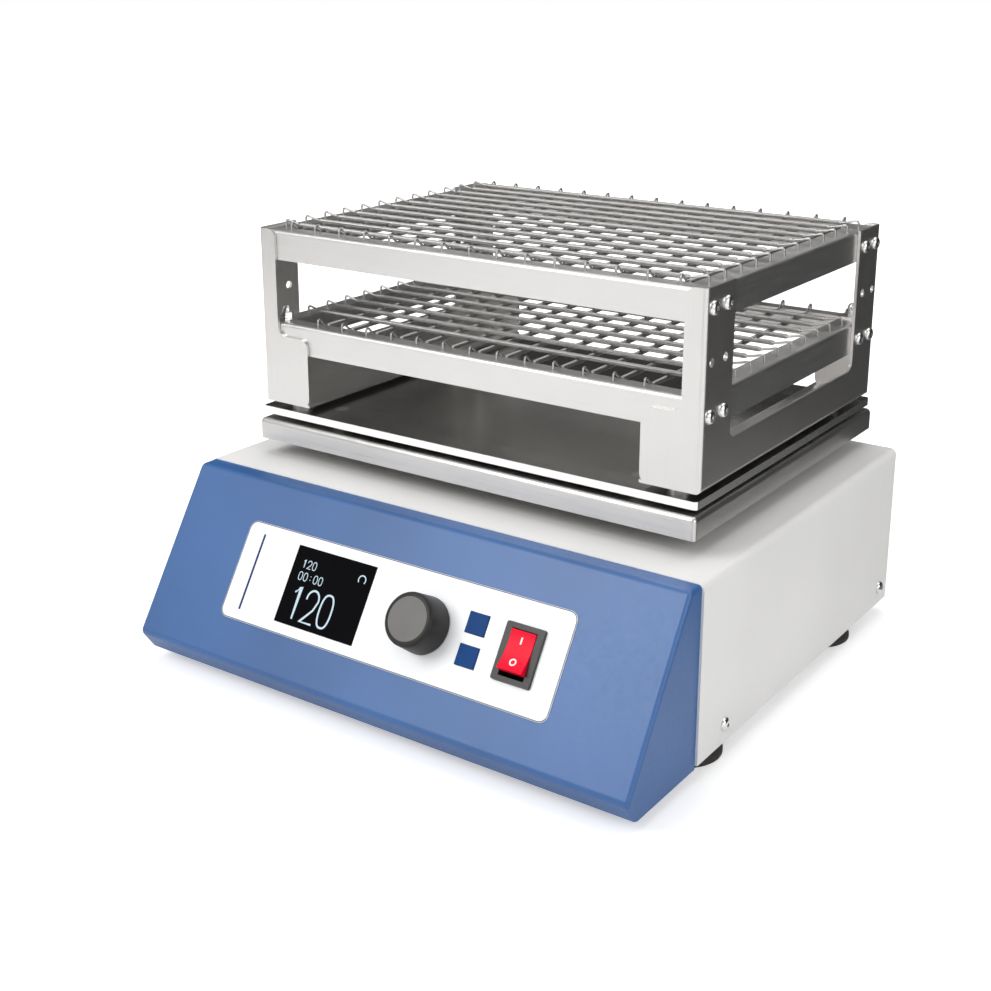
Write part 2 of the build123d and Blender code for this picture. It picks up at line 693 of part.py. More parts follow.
# Main bearing housing: a flanged cartridge with two bearings
main_low = bridge_bottom - 2 * BRIDGE
main_high = bridge_top + BRIDGE * 0.75
with BuildPart() as main_bearing_housing:
    with Locations((0, crank_y)):
        add(turned(
            (SHAFT / 2 + 2, main_low),
            (MAIN_HOUSING / 2, main_low),
            (MAIN_HOUSING / 2, bridge_top),
            (MAIN_FLANGE / 2, bridge_top),
            (MAIN_FLANGE / 2, main_high - 1),
            (MAIN_FLANGE / 2 - 1, main_high),
            (MAIN_BEARING / 2 + FIT, main_high),
            (MAIN_BEARING / 2 + FIT, main_low + 2),
            (SHAFT / 2 + 2, main_low + 2),
        ))
main_bearing_housing.part.label = "main_bearing_housing"

with BuildPart() as main_bearings:
    with Locations((0, crank_y)):
        add(ring(MAIN_BEARING, SHAFT + 2 * FIT, main_low + 2, main_low + 2 + MAIN_BEARING_WIDTH))
        add(ring(MAIN_BEARING, SHAFT + 2 * FIT, main_high - MAIN_BEARING_WIDTH, main_high))
main_bearings.part.label = "main_bearings"

# Main crank: shaft, disc and the pin that stands off the axis by the orbit
pulley_top = main_low - 4
pulley_bottom = pulley_top - PULLEY_WIDTH
weight_top = pulley_bottom - 4
disc_top = disc_bottom + DISC
pin_top = tray_under - 1.5
with BuildPart() as crank_shaft:
    with Locations((0, crank_y)):
        add(turned(
            (0, weight_top - COUNTERWEIGHT - 2),
            (SHAFT / 2 - 1, weight_top - COUNTERWEIGHT - 2),
            (SHAFT / 2, weight_top - COUNTERWEIGHT - 1),
            (SHAFT / 2, disc_bottom - 2),
            (SHAFT / 2 + 6, disc_bottom),
            (DISC_DIAMETER / 2, disc_bottom),
            (DISC_DIAMETER / 2, disc_top - 1),
            (DISC_DIAMETER / 2 - 1, disc_top),
            (0, disc_top),
        ))
    with BuildSketch(Plane.XY.offset(disc_top)):
        with Locations((0, table_y)):
            Circle(CRANK_PIN / 2)
    extrude(amount=pin_top - disc_top)
crank_shaft.part.label = "crank_shaft"

with BuildPart() as counterweight:
    with BuildSketch(Plane.XY.offset(weight_top - COUNTERWEIGHT)):
        with Locations((0, crank_y)):
            Circle(COUNTERWEIGHT_RADIUS)
        with Locations((0, crank_y + COUNTERWEIGHT_RADIUS)):
            Rectangle(3 * COUNTERWEIGHT_RADIUS, 2 * COUNTERWEIGHT_RADIUS, mode=Mode.SUBTRACT)
        with Locations((0, crank_y)):
            Circle(SHAFT)
            Circle(SHAFT / 2 + FIT, mode=Mode.SUBTRACT)
    extrude(amount=COUNTERWEIGHT)
counterweight.part.label = "counterweight"

# Toothed-belt drive, three times slower at the crank
crank_pulley_radius = CRANK_TEETH * BELT_PITCH / (2 * pi) - BELT / 2 - PART_GAP
motor_pulley_radius = MOTOR_TEETH * BELT_PITCH / (2 * pi) - BELT / 2 - PART_GAP
with BuildPart() as crank_pulley:
    with BuildSketch(Plane.XY.offset(pulley_bottom)):
        with Locations((0, crank_y)):
            Circle(crank_pulley_radius)
            Circle(SHAFT / 2 + FIT, mode=Mode.SUBTRACT)
            with PolarLocations((crank_pulley_radius + SHAFT / 2) / 2, 6):
                Circle(crank_pulley_radius / 5, mode=Mode.SUBTRACT)
    extrude(amount=PULLEY_WIDTH)
crank_pulley.part.label = "crank_pulley"

with BuildPart() as motor_pulley:
    with Locations((0, motor_y)):
        add(turned(
            (MOTOR_SHAFT / 2 + FIT, pulley_bottom),
            (motor_pulley_radius + 3, pulley_bottom),
            (motor_pulley_radius + 3, pulley_bottom + 1.2),
            (motor_pulley_radius, pulley_bottom + 1.2),
            (motor_pulley_radius, pulley_top - 1.2),
            (motor_pulley_radius + 3, pulley_top - 1.2),
            (motor_pulley_radius + 3, pulley_top),
            (MOTOR_SHAFT / 2 + FIT, pulley_top),
        ))
motor_pulley.part.label = "motor_pulley"

with BuildPart() as drive_belt:
    with BuildSketch(Plane.XY.offset((pulley_bottom + pulley_top - BELT_WIDTH) / 2)):
        with Locations((0, crank_y)):
            Circle(crank_pulley_radius + PART_GAP + BELT)
        with Locations((0, motor_y)):
            Circle(motor_pulley_radius + PART_GAP + BELT)
        make_hull()
        with BuildSketch(mode=Mode.SUBTRACT):
            with Locations((0, crank_y)):
                Circle(crank_pulley_radius + PART_GAP)
            with Locations((0, motor_y)):
                Circle(motor_pulley_radius + PART_GAP)
            make_hull()
    extrude(amount=BELT_WIDTH)
drive_belt.part.label = "drive_belt"

# Motor hung under a folded bracket, with its shaft up into the pulley
bracket_low = pulley_bottom - 6
motor_low = bracket_low - MOTOR_LENGTH
bracket_half = MOTOR_DIAMETER / 2 + 8
with BuildPart() as motor_bracket:
    with BuildSketch(Plane.XZ.offset(-motor_y)):
        with BuildLine():
            Polyline(
                (-bracket_half - 18, base_top),
                (-bracket_half, base_top),
                (-bracket_half, bracket_low),
                (bracket_half, bracket_low),
                (bracket_half, base_top),
                (bracket_half + 18, base_top),
                (bracket_half + 18, base_top + BRACKET),
                (bracket_half + BRACKET, base_top + BRACKET),
                (bracket_half + BRACKET, bracket_low + BRACKET),
                (-bracket_half - BRACKET, bracket_low + BRACKET),
                (-bracket_half - BRACKET, base_top + BRACKET),
                (-bracket_half - 18, base_top + BRACKET),
                close=True,
            )
        make_face()
    extrude(amount=MOTOR_DIAMETER / 2, both=True)
    with BuildSketch(Plane.XY.offset(bracket_low)):
        with Locations((0, motor_y)):
            Circle(MOTOR_DIAMETER / 5)
    extrude(amount=BRACKET, mode=Mode.SUBTRACT)
motor_bracket.part.label = "motor_bracket"

with BuildPart() as motor:
    with Locations((0, motor_y)):
        add(turned(
            (0, motor_low),
            (MOTOR_DIAMETER / 2 - 2, motor_low),
            (MOTOR_DIAMETER / 2, motor_low + 2),
            (MOTOR_DIAMETER / 2, bracket_low),
            (MOTOR_DIAMETER / 5 - FIT, bracket_low),
            (MOTOR_DIAMETER / 5 - FIT, bracket_low + BRACKET),
            (MOTOR_SHAFT / 2 + FIT, bracket_low + BRACKET),
            (MOTOR_SHAFT / 2 + FIT, bracket_low - MOTOR_LENGTH / 2),
            (0, bracket_low - MOTOR_LENGTH / 2),
        ))
motor.part.label = "motor"

with BuildPart() as motor_shaft:
    with BuildSketch(Plane.XY.offset(bracket_low - MOTOR_LENGTH / 2 + PART_GAP)):
        with Locations((0, motor_y)):
            Circle(MOTOR_SHAFT / 2)
    extrude(amount=pulley_top - bracket_low + MOTOR_LENGTH / 2 - PART_GAP)
motor_shaft.part.label = "motor_shaft"

# Idler cranks: the same orbit at the four corners, so the table can't turn
idler_low = bridge_bottom - BRIDGE
idler_high = bridge_top + BRIDGE / 2
idler_disc_top = disc_bottom + IDLER_DISC_THICKNESS
with BuildPart() as idler_housings:
    with Locations(*idler_axes):
        add(turned(
            (IDLER_SHAFT / 2 + 1.5, idler_low),
            (IDLER_BEARING / 2 + 3, idler_low),
            (IDLER_BEARING / 2 + 3, bridge_top),
            (IDLER_BEARING / 2 + 9, bridge_top),
            (IDLER_BEARING / 2 + 9, idler_high),
            (IDLER_BEARING / 2 + FIT, idler_high),
            (IDLER_BEARING / 2 + FIT, idler_low + 1.5),
            (IDLER_SHAFT / 2 + 1.5, idler_low + 1.5),
        ))
idler_housings.part.label = "idler_housings"

with BuildPart() as idler_bearings:
    with Locations(*idler_axes):
        add(ring(IDLER_BEARING, IDLER_SHAFT + 2 * FIT, idler_low + 1.5, idler_high))
idler_bearings.part.label = "idler_bearings"


def idler_crank(x, y):
    """A small crank: a shaft in its bearing, a disc and a pin off the axis by the orbit."""
    with BuildPart() as crank:
        with Locations((x, y)):
            add(turned(
                (0, idler_low + 2),
                (IDLER_SHAFT / 2, idler_low + 2),
                (IDLER_SHAFT / 2, disc_bottom),
                (IDLER_DISC / 2, disc_bottom),
                (IDLER_DISC / 2, idler_disc_top),
                (0, idler_disc_top),
            ))
        with BuildSketch(Plane.XY.offset(idler_disc_top)):
            with Locations((x, y + ORBIT)):
                Circle(IDLER_SHAFT / 2)
        extrude(amount=pin_top - idler_disc_top)
    return crank.part


corner_names = ["front_left", "rear_left", "front_right", "rear_right"]
idler_cranks = []
for corner, (idler_x, idler_y, _) in zip(corner_names, idler_axes):
    with BuildPart() as corner_crank:
        add(idler_crank(idler_x, idler_y))
    corner_crank.part.label = f"idler_crank_{corner}"
    idler_cranks.append(corner_crank)

# Carrier under the tray: the hub on the crank pin and the bushes on the idler pins
hub_low = disc_top + HUB_GAP
with BuildPart() as carrier_hub:
    with Locations((0, table_y)):
        add(turned(
            (CRANK_PIN / 2 + 2, tray_under),
            (CRANK_PIN / 2 + 2, hub_low + CARRIER_BEARING_WIDTH),
            (CARRIER_BEARING / 2 + FIT, hub_low + CARRIER_BEARING_WIDTH),
            (CARRIER_BEARING / 2 + FIT, hub_low),
            (CARRIER_HUB / 2, hub_low),
            (CARRIER_HUB / 2, tray_under - 4),
            (CARRIER_FLANGE / 2, tray_under - 3),
            (CARRIER_FLANGE / 2, tray_under),
        ))
carrier_hub.part.label = "carrier_hub"

with BuildPart() as carrier_bearing:
    with Locations((0, table_y)):
        add(ring(CARRIER_BEARING, CRANK_PIN + 2 * FIT, hub_low, hub_low + CARRIER_BEARING_WIDTH))
carrier_bearing.part.label = "carrier_bearing"

bush_places = four(IDLER_SPREAD / 2, IDLER_DEPTH / 2, table_y)
with BuildPart() as idler_bushes:
    with Locations(*bush_places):
        add(ring(IDLER_BUSH, IDLER_SHAFT + 2 * IDLER_PLAY, idler_disc_top + HUB_GAP, tray_under))
idler_bushes.part.label = "idler_bushes"

# Drive tray: an inverted pan that the carrier turns in its orbit
plate_screw_places = four(PLATE_SCREW_X, PLATE_SCREW_Y, table_y)
with BuildPart() as drive_tray:
    with BuildSketch(Plane.XY.offset(tray_bottom)):
        with Locations((0, table_y)):
            Rectangle(TRAY_WIDTH, TRAY_DEPTH)
    extrude(amount=TRAY_HEIGHT)
    fillet(drive_tray.edges().filter_by(Axis.Z), TRAY_SHEET + 0.5)
    fillet(drive_tray.edges().group_by(Axis.Z)[-1], TRAY_BEND)
    offset(amount=-TRAY_SHEET, openings=drive_tray.faces().sort_by(Axis.Z)[0])
    with BuildSketch(Plane.XY.offset(tray_under)):
        with Locations(*plate_screw_places):
            Circle((SCREW + HOLE_PLAY) / 2)
    extrude(amount=TRAY_SHEET, mode=Mode.SUBTRACT)
drive_tray.part.label = "drive_tray"

# Platform plate, screwed down through the spacers and bored for the rack's bolts
rack_bolt_places = four(RACK_WIDTH / 2 - RACK_BOLT_INSET_X, RACK_DEPTH / 2 - RACK_BOLT_INSET_Y, table_y)
plate_screw = sunk_screw(SCREW, 2 * SCREW, plate_top - tray_under + NUT + 1)
rack_bolt = sunk_screw(SCREW, 2 * SCREW, rack_bottom - plate_bottom + RACK_SHEET + NUT + 1)
with BuildPart() as platform_plate:
    with BuildSketch(Plane.XY.offset(plate_bottom)):
        with Locations((0, table_y)):
            RectangleRounded(PLATE_WIDTH, PLATE_DEPTH, 3)
        with Locations(*plate_screw_places, *rack_bolt_places):
            Circle((SCREW + HOLE_PLAY) / 2, mode=Mode.SUBTRACT)
    extrude(amount=PLATE)
    with BuildSketch(Plane.XY.offset(plate_top)):
        with Locations(*plate_screw_places):
            Circle(SCREW + FIT)
    extrude(amount=-SCREW / 2, taper=45, mode=Mode.SUBTRACT)
    with BuildSketch(Plane.XY.offset(plate_bottom)):
        with Locations(*rack_bolt_places):
            Circle(SCREW + FIT)
    extrude(amount=SCREW / 2, taper=45, mode=Mode.SUBTRACT)
platform_plate.part.label = "platform_plate"

with BuildPart() as platform_spacers:
    with Locations(*plate_screw_places):
        add(ring(SCREW + 9, SCREW + HOLE_PLAY, tray_top, plate_bottom))
    with Locations(*rack_bolt_places):
        add(ring(SCREW + 10, SCREW + HOLE_PLAY, plate_top, rack_bottom))
platform_spacers.part.label = "platform_spacers"

with BuildPart() as platform_screws:
    with Locations(*[(x, y, plate_top) for x, y, z in plate_screw_places]):
        add(plate_screw)
    with Locations(*[(x, y, tray_under - NUT) for x, y, z in plate_screw_places]):
        add(hex_nut(NUT_FLATS, SCREW + 2 * FIT, NUT))
platform_screws.part.label = "platform_screws"

with BuildPart() as rack_bolts:
    with Locations(*[Location((x, y, plate_bottom), (180, 0, 0)) for x, y, z in rack_bolt_places]):
        add(rack_bolt)
    with Locations(*[(x, y, rack_bottom + RACK_SHEET) for x, y, z in rack_bolt_places]):
        add(hex_nut(NUT_FLATS, SCREW + 2 * FIT, NUT))
rack_bolts.part.label = "rack_bolts"

# Rack sides: a sheet with a sill below its window, stepped flanges at both ends
# and a broad foot flange below
rack_half = RACK_WIDTH / 2
rack_end = RACK_DEPTH / 2
screw_rows = [upper_top - SCREW_DROP, lower_top - SCREW_DROP]
spare_row = sum(screw_rows) / 2
screw_columns = [
    side * (rack_end - SCREW_INSET - step) for side in (-1, 1) for step in (0, SCREW_PITCH)
]
rack_screw_places = [(table_y + y, z) for y in screw_columns for z in screw_rows]
rack_hole_places = [(table_y + y, z) for y in screw_columns for z in (*screw_rows, spare_row)]

with BuildPart() as side_plate_right:
    with BuildSketch(Plane.YZ.offset(rack_half)):
        with Locations((table_y, (rack_bottom + rack_top) / 2)):
            Rectangle(RACK_DEPTH, RACK_HEIGHT)
    extrude(amount=-RACK_SHEET)
    for end_y in (table_y - rack_end, table_y + rack_end - RACK_SHEET):
        with BuildSketch(Plane.XZ.offset(-end_y)):
            with BuildLine():
                Polyline(
                    (rack_half, rack_bottom),
                    (rack_half, rack_top),
                    (rack_half - RACK_FLANGE, rack_top),
                    (rack_half - RACK_FLANGE, rack_bottom + RACK_FOOT_HEIGHT),
                    (rack_half - RACK_FOOT, rack_bottom + RACK_FOOT_HEIGHT),
                    (rack_half - RACK_FOOT, rack_bottom),
                    close=True,
                )
            make_face()
            fillet(vertices().filter_by(lambda corner: corner.X < rack_half - 1), RACK_FLANGE / 2 - 0.5)
        extrude(amount=-RACK_SHEET)
    with BuildSketch(Plane.XY.offset(rack_bottom)):
        with Locations((rack_half - RACK_FOOT / 2, table_y)):
            Rectangle(RACK_FOOT, RACK_DEPTH)
        with Locations(*rack_bolt_places):
            Circle((SCREW + HOLE_PLAY) / 2, mode=Mode.SUBTRACT)
    extrude(amount=RACK_SHEET)
    corners = side_plate_right.edges().filter_by(Axis.Z).group_by(Axis.X)[-1]
    hem = side_plate_right.edges().group_by(Axis.Z)[0].filter_by(Axis.Y).sort_by(Axis.X)[-1]
    fillet(corners + [hem], RACK_BEND)
    with BuildSketch(Plane.YZ.offset(rack_half)):
        with Locations((table_y, rack_top)):
            Rectangle(RACK_DEPTH - 2 * POST_WIDTH, 2 * (RACK_HEIGHT - WINDOW_SILL))
        fillet(vertices(), 6)
        with Locations(*rack_hole_places):
            Circle(RACK_HOLE / 2)
    extrude(amount=-RACK_SHEET, mode=Mode.SUBTRACT)
side_plate_right.part.label = "side_plate_right"

with BuildPart() as side_plate_left:
    mirror(side_plate_right.part, about=Plane.YZ)
side_plate_left.part.label = "side_plate_left"

# Tier frames: folded rings inside the side plates, drilled along their flanges
frame_half_x = rack_half - RACK_SHEET - FRAME_SEAT
frame_half_y = rack_end - RACK_SHEET - FRAME_SEAT
hook_x = frame_half_x - FOOT_INSET
hook_y = frame_half_y - FOOT_INSET


def tier_frame(along_count, cross_count, cross_pitch):
    """A ring with its top on z = 0: a skirt, a flange inwards and a hole for each hook."""
    with BuildPart() as frame:
        with BuildSketch(Plane.XY.offset(-FRAME_HEIGHT)):
            Rectangle(2 * frame_half_x, 2 * frame_half_y)
        extrude(amount=FRAME_HEIGHT)
        fillet(frame.edges().filter_by(Axis.Z), FRAME_SHEET + 0.5)
        fillet(frame.edges().group_by(Axis.Z)[-1], RACK_BEND - 0.5)
        offset(amount=-FRAME_SHEET, openings=frame.faces().sort_by(Axis.Z)[0])
        with BuildSketch(Plane.XY):
            Rectangle(2 * (frame_half_x - SIDE_FLANGE), 2 * (frame_half_y - END_FLANGE))
            with GridLocations(ALONG_PITCH, 2 * hook_y, along_count, 2):
                RegularPolygon(WIRE_HOLE / 2, 6)
            with GridLocations(2 * hook_x, cross_pitch, 2, cross_count):
                RegularPolygon(WIRE_HOLE / 2, 6)
        extrude(amount=-FRAME_SHEET, mode=Mode.SUBTRACT)
        with BuildSketch(Plane.YZ):
            with Locations(*[(y, -SCREW_DROP) for y in screw_columns]):
                Circle(RACK_HOLE / 2)
        extrude(amount=rack_half, both=True, mode=Mode.SUBTRACT)
    return frame.part


with BuildPart() as upper_frame:
    with Locations((0, table_y, upper_top)):
        add(tier_frame(UPPER_ALONG, UPPER_CROSS, UPPER_CROSS_PITCH))
upper_frame.part.label = "upper_frame"

with BuildPart() as lower_frame:
    with Locations((0, table_y, lower_top)):
        add(tier_frame(LOWER_ALONG, LOWER_CROSS, LOWER_CROSS_PITCH))
lower_frame.part.label = "lower_frame"

# Spring strands: a close-wound rod with an open hook at each end, whose foot goes
# down through its hole in the flange. The cross strands lie on the along strands.
along_height = CROSS_HEIGHT - ROD - STRAND_GAP


def hook(foot, reach, height):
    """The right-hand hook of a strand along x: up from its foot, over and down to the rod."""
    with BuildPart() as wire:
        with BuildLine() as path:
            Polyline(
                (foot, 0, -FRAME_SHEET - 1),
                (foot, 0, HOOK_APEX * 0.6),
                (foot - WIRE, 0, HOOK_APEX - WIRE / 2),
                (foot - 2.4 * WIRE, 0, HOOK_APEX - WIRE),
                (foot - reach - WIRE, 0, height),
            )
        with BuildSketch(Plane(origin=path.line @ 0, z_dir=path.line % 0)):
            RegularPolygon(WIRE / 2, 6)
        sweep(path=path.wire(), transition=Transition.RIGHT)
    return wire.part


def strand(foot, reach, height):
    """One strand along x on z = 0, between two hook feet the given way from its middle."""
    with BuildPart() as spring:
        with BuildSketch(Plane.YZ):
            with Locations((0, height)):
                Circle(ROD / 2)
        extrude(amount=foot - reach, both=True)
        add(hook(foot, reach, height))
        mirror(hook(foot, reach, height), about=Plane.YZ)
    return spring.part


cross_strand = strand(hook_x, CROSS_REACH, CROSS_HEIGHT)
along_strand = strand(hook_y, ALONG_REACH, along_height)

with BuildPart() as upper_cross_strands:
    with Locations((0, table_y, upper_top)):
        with GridLocations(1, UPPER_CROSS_PITCH, 1, UPPER_CROSS):
            add(cross_strand)
upper_cross_strands.part.label = "upper_cross_strands"

with BuildPart() as upper_along_strands:
    with Locations(Location((0, table_y, upper_top), (0, 0, 90))):
        with GridLocations(1, ALONG_PITCH, 1, UPPER_ALONG):
            add(along_strand)
upper_along_strands.part.label = "upper_along_strands"

with BuildPart() as lower_cross_strands:
    with Locations((0, table_y, lower_top)):
        with GridLocations(1, LOWER_CROSS_PITCH, 1, LOWER_CROSS):
            add(cross_strand)
lower_cross_strands.part.label = "lower_cross_strands"

with BuildPart() as lower_along_strands:
    with Locations(Location((0, table_y, lower_top), (0, 0, 90))):
        with GridLocations(1, ALONG_PITCH, 1, LOWER_ALONG):
            add(along_strand)
lower_along_strands.part.label = "lower_along_strands"

# Rack fasteners
frame_screw = button_screw(SCREW, SCREW_HEAD, SCREW_RISE, RACK_SHEET + FRAME_SEAT + FRAME_SHEET + NUT + 1)
with BuildPart() as rack_screws:
    with Locations(
        *[Location((rack_half, y, z), (0, 90, 0)) for y, z in rack_screw_places],
        *[Location((-rack_half, y, z), (0, -90, 0)) for y, z in rack_screw_places],
    ):
        add(frame_screw)
rack_screws.part.label = "rack_screws"

nut_seat = frame_half_x - FRAME_SHEET
with BuildPart() as rack_nuts:
    with Locations(
        *[Location((nut_seat, y, z), (0, -90, 0)) for y, z in rack_screw_places],
        *[Location((-nut_seat, y, z), (0, 90, 0)) for y, z in rack_screw_places],
    ):
        add(hex_nut(NUT_FLATS, SCREW + 2 * FIT, NUT))
rack_nuts.part.label = "rack_nuts"

# Corner tabs and cap nuts on the lower frame
tab_places = four(frame_half_x - TAB_INSET_X, frame_half_y - TAB_INSET_Y, table_y, lower_top)
with BuildPart() as corner_tabs:
    with BuildSketch(Plane.XY.offset(lower_top)):
        with Locations(*tab_places):
            RectangleRounded(TAB, TAB, 3)
    extrude(amount=FRAME_SHEET)
corner_tabs.part.label = "corner_tabs"

cap_blank = turned(
    (0, 0),
    (NUT_FLATS / 2, 0),
    (NUT_FLATS / 2, NUT),
    (NUT_FLATS * 0.42, NUT + 1.5),
    (NUT_FLATS * 0.25, NUT + 4),
    (0, NUT + 4.6),
)
with BuildPart() as cap_nuts:
    with Locations(*[(x, y, z + FRAME_SHEET) for x, y, z in tab_places]):
        add(cap_blank)
cap_nuts.part.label = "cap_nuts"

# Mains inlet in the back wall
with BuildPart() as inlet_socket:
    with BuildSketch(Plane.XZ.offset(-housing_back)):
        with Locations(inlet_place):
            RectangleRounded(INLET_WIDTH, INLET_TALL, 4)
        with Locations(*inlet_screws):
            Circle((SMALL_SCREW + HOLE_PLAY) / 2, mode=Mode.SUBTRACT)
    extrude(amount=-INLET_PROUD)
    with BuildSketch(Plane.XZ.offset(-housing_back)):
        with Locations(inlet_place):
            Rectangle(INLET_WIDTH - 21, INLET_TALL - 3)
    extrude(amount=INLET_DEPTH)
    with BuildSketch(Plane.XZ.offset(-housing_back - INLET_PROUD)):
        with Locations(inlet_place):
            Rectangle(INLET_WIDTH - 25, INLET_TALL - 7)
    extrude(amount=INLET_DEPTH - 3, mode=Mode.SUBTRACT)
    with BuildSketch(Plane.XZ.offset(-housing_back - INLET_PROUD + INLET_DEPTH - 3)):
        with Locations(
            (INLET_X - 7, inlet_place[1] - 2),
            (INLET_X, inlet_place[1] + 2),
            (INLET_X + 7, inlet_place[1] - 2),
        ):
            Rectangle(2, 4)
    extrude(amount=-(INLET_DEPTH - 7))
inlet_socket.part.label = "inlet_socket"

inlet_screw = sunk_screw(SMALL_SCREW, SMALL_SCREW + 2 * FIT, INLET_PROUD + SHEET + 3)
with BuildPart() as inlet_fixings:
    with Locations(*[Location((x, housing_back + INLET_PROUD, z), (-90, 0, 0)) for x, z in inlet_screws]):
        add(inlet_screw)
inlet_fixings.part.label = "inlet_fixings"

os.makedirs("parts", exist_ok=True)
for piece in (
    housing_shell, base_plate, rubber_feet, foot_fixings, housing_screws,
    front_panel, control_overlay, display_window, display_module, control_board, board_spacers,
    key_upper, key_lower, encoder_body, knob, encoder_shaft, power_switch, power_rocker,
    power_supply, motor_driver, inlet_socket, inlet_fixings,
    bridge_pillars, bearing_bridge, main_bearing_housing, main_bearings,
    crank_shaft, counterweight, crank_pulley, motor_pulley, drive_belt,
    motor_bracket, motor, motor_shaft, idler_housings, idler_bearings, *idler_cranks,
    carrier_hub, carrier_bearing, idler_bushes, drive_tray, platform_plate,
    platform_spacers, platform_screws, rack_bolts,
    side_plate_right, side_plate_left, upper_frame, lower_frame,
    upper_cross_strands, upper_along_strands, lower_cross_strands, lower_along_strands,
    rack_screws, rack_nuts, corner_tabs, cap_nuts,
):
    export_step(piece.part, f"parts/{piece.part.label}.step")
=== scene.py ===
import json
import random
from math import cos, pi, radians, sin

import bpy
from mathutils import Matrix, Vector


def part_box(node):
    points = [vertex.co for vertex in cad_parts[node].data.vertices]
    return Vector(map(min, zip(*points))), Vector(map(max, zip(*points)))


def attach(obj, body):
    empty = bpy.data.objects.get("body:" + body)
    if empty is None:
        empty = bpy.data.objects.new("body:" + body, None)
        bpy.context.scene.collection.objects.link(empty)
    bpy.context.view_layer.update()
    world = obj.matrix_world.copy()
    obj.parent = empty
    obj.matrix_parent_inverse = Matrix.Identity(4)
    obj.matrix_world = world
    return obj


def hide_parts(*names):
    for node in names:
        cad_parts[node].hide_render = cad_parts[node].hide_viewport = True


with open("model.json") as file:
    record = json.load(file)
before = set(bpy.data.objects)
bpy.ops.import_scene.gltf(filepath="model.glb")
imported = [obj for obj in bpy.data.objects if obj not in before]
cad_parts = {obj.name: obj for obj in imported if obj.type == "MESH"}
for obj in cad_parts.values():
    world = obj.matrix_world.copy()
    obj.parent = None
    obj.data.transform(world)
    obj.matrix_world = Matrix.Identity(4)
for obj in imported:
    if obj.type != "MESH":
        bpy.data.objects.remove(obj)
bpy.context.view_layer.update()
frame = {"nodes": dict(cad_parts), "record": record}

# Sizes on the object are in millimetres, and MM turns them into metres.
# Sizes of the camera, the set and the lamps are in metres.
MM = 0.001
X, Y, Z = Vector((1, 0, 0)), Vector((0, 1, 0)), Vector((0, 0, 1))
SHARP_BEND = 32
SHARP_BEND_OF_A_COIL = 60
random.seed(7)


def middle(node):
    """The middle of a node's box."""
    low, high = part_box(node)
    return (low + high) / 2


# Camera, at the photograph's viewing angle
CAMERA_PLACE = (0.5345, -0.7989, 0.4593)
CAMERA_BACK = (0.5517, -0.7836, 0.2858)
SENSOR_WIDTH = 36
LENS = 54.12
CAMERA_SHIFT = -0.0964

camera = bpy.data.objects.new("camera", bpy.data.cameras.new("camera"))
bpy.context.scene.collection.objects.link(camera)
bpy.context.scene.camera = camera
camera.location = CAMERA_PLACE
camera.rotation_mode = "QUATERNION"
camera.rotation_quaternion = (-Vector(CAMERA_BACK).normalized()).to_track_quat("-Z", "Y")
camera.data.sensor_width = SENSOR_WIDTH
camera.data.lens = LENS
camera.data.shift_y = CAMERA_SHIFT
camera.data.clip_start = 0.05
camera.data.clip_end = 100


# Node trees
def node_in(tree, kind, **values):
    """One more node in a tree."""
    node = tree.nodes.new(kind)
    for name, value in values.items():
        setattr(node, name, value)
    return node


def spread(tree, value, low, high, start, end):
    """A value that goes from low to high while another goes from start to end."""
    node = node_in(tree, "ShaderNodeMapRange")
    for name, number in (("From Min", start), ("From Max", end), ("To Min", low), ("To Max", high)):
        node.inputs[name].default_value = number
    tree.links.new(value, node.inputs["Value"])
    return node.outputs["Result"]


def calculate(tree, operation, *values):
    """The result of a sum on sockets and numbers."""
    node = node_in(tree, "ShaderNodeMath", operation=operation)
    for socket, value in zip(node.inputs, values):
        if isinstance(value, (int, float)):
            socket.default_value = value
        else:
            tree.links.new(value, socket)
    return node.outputs["Value"]


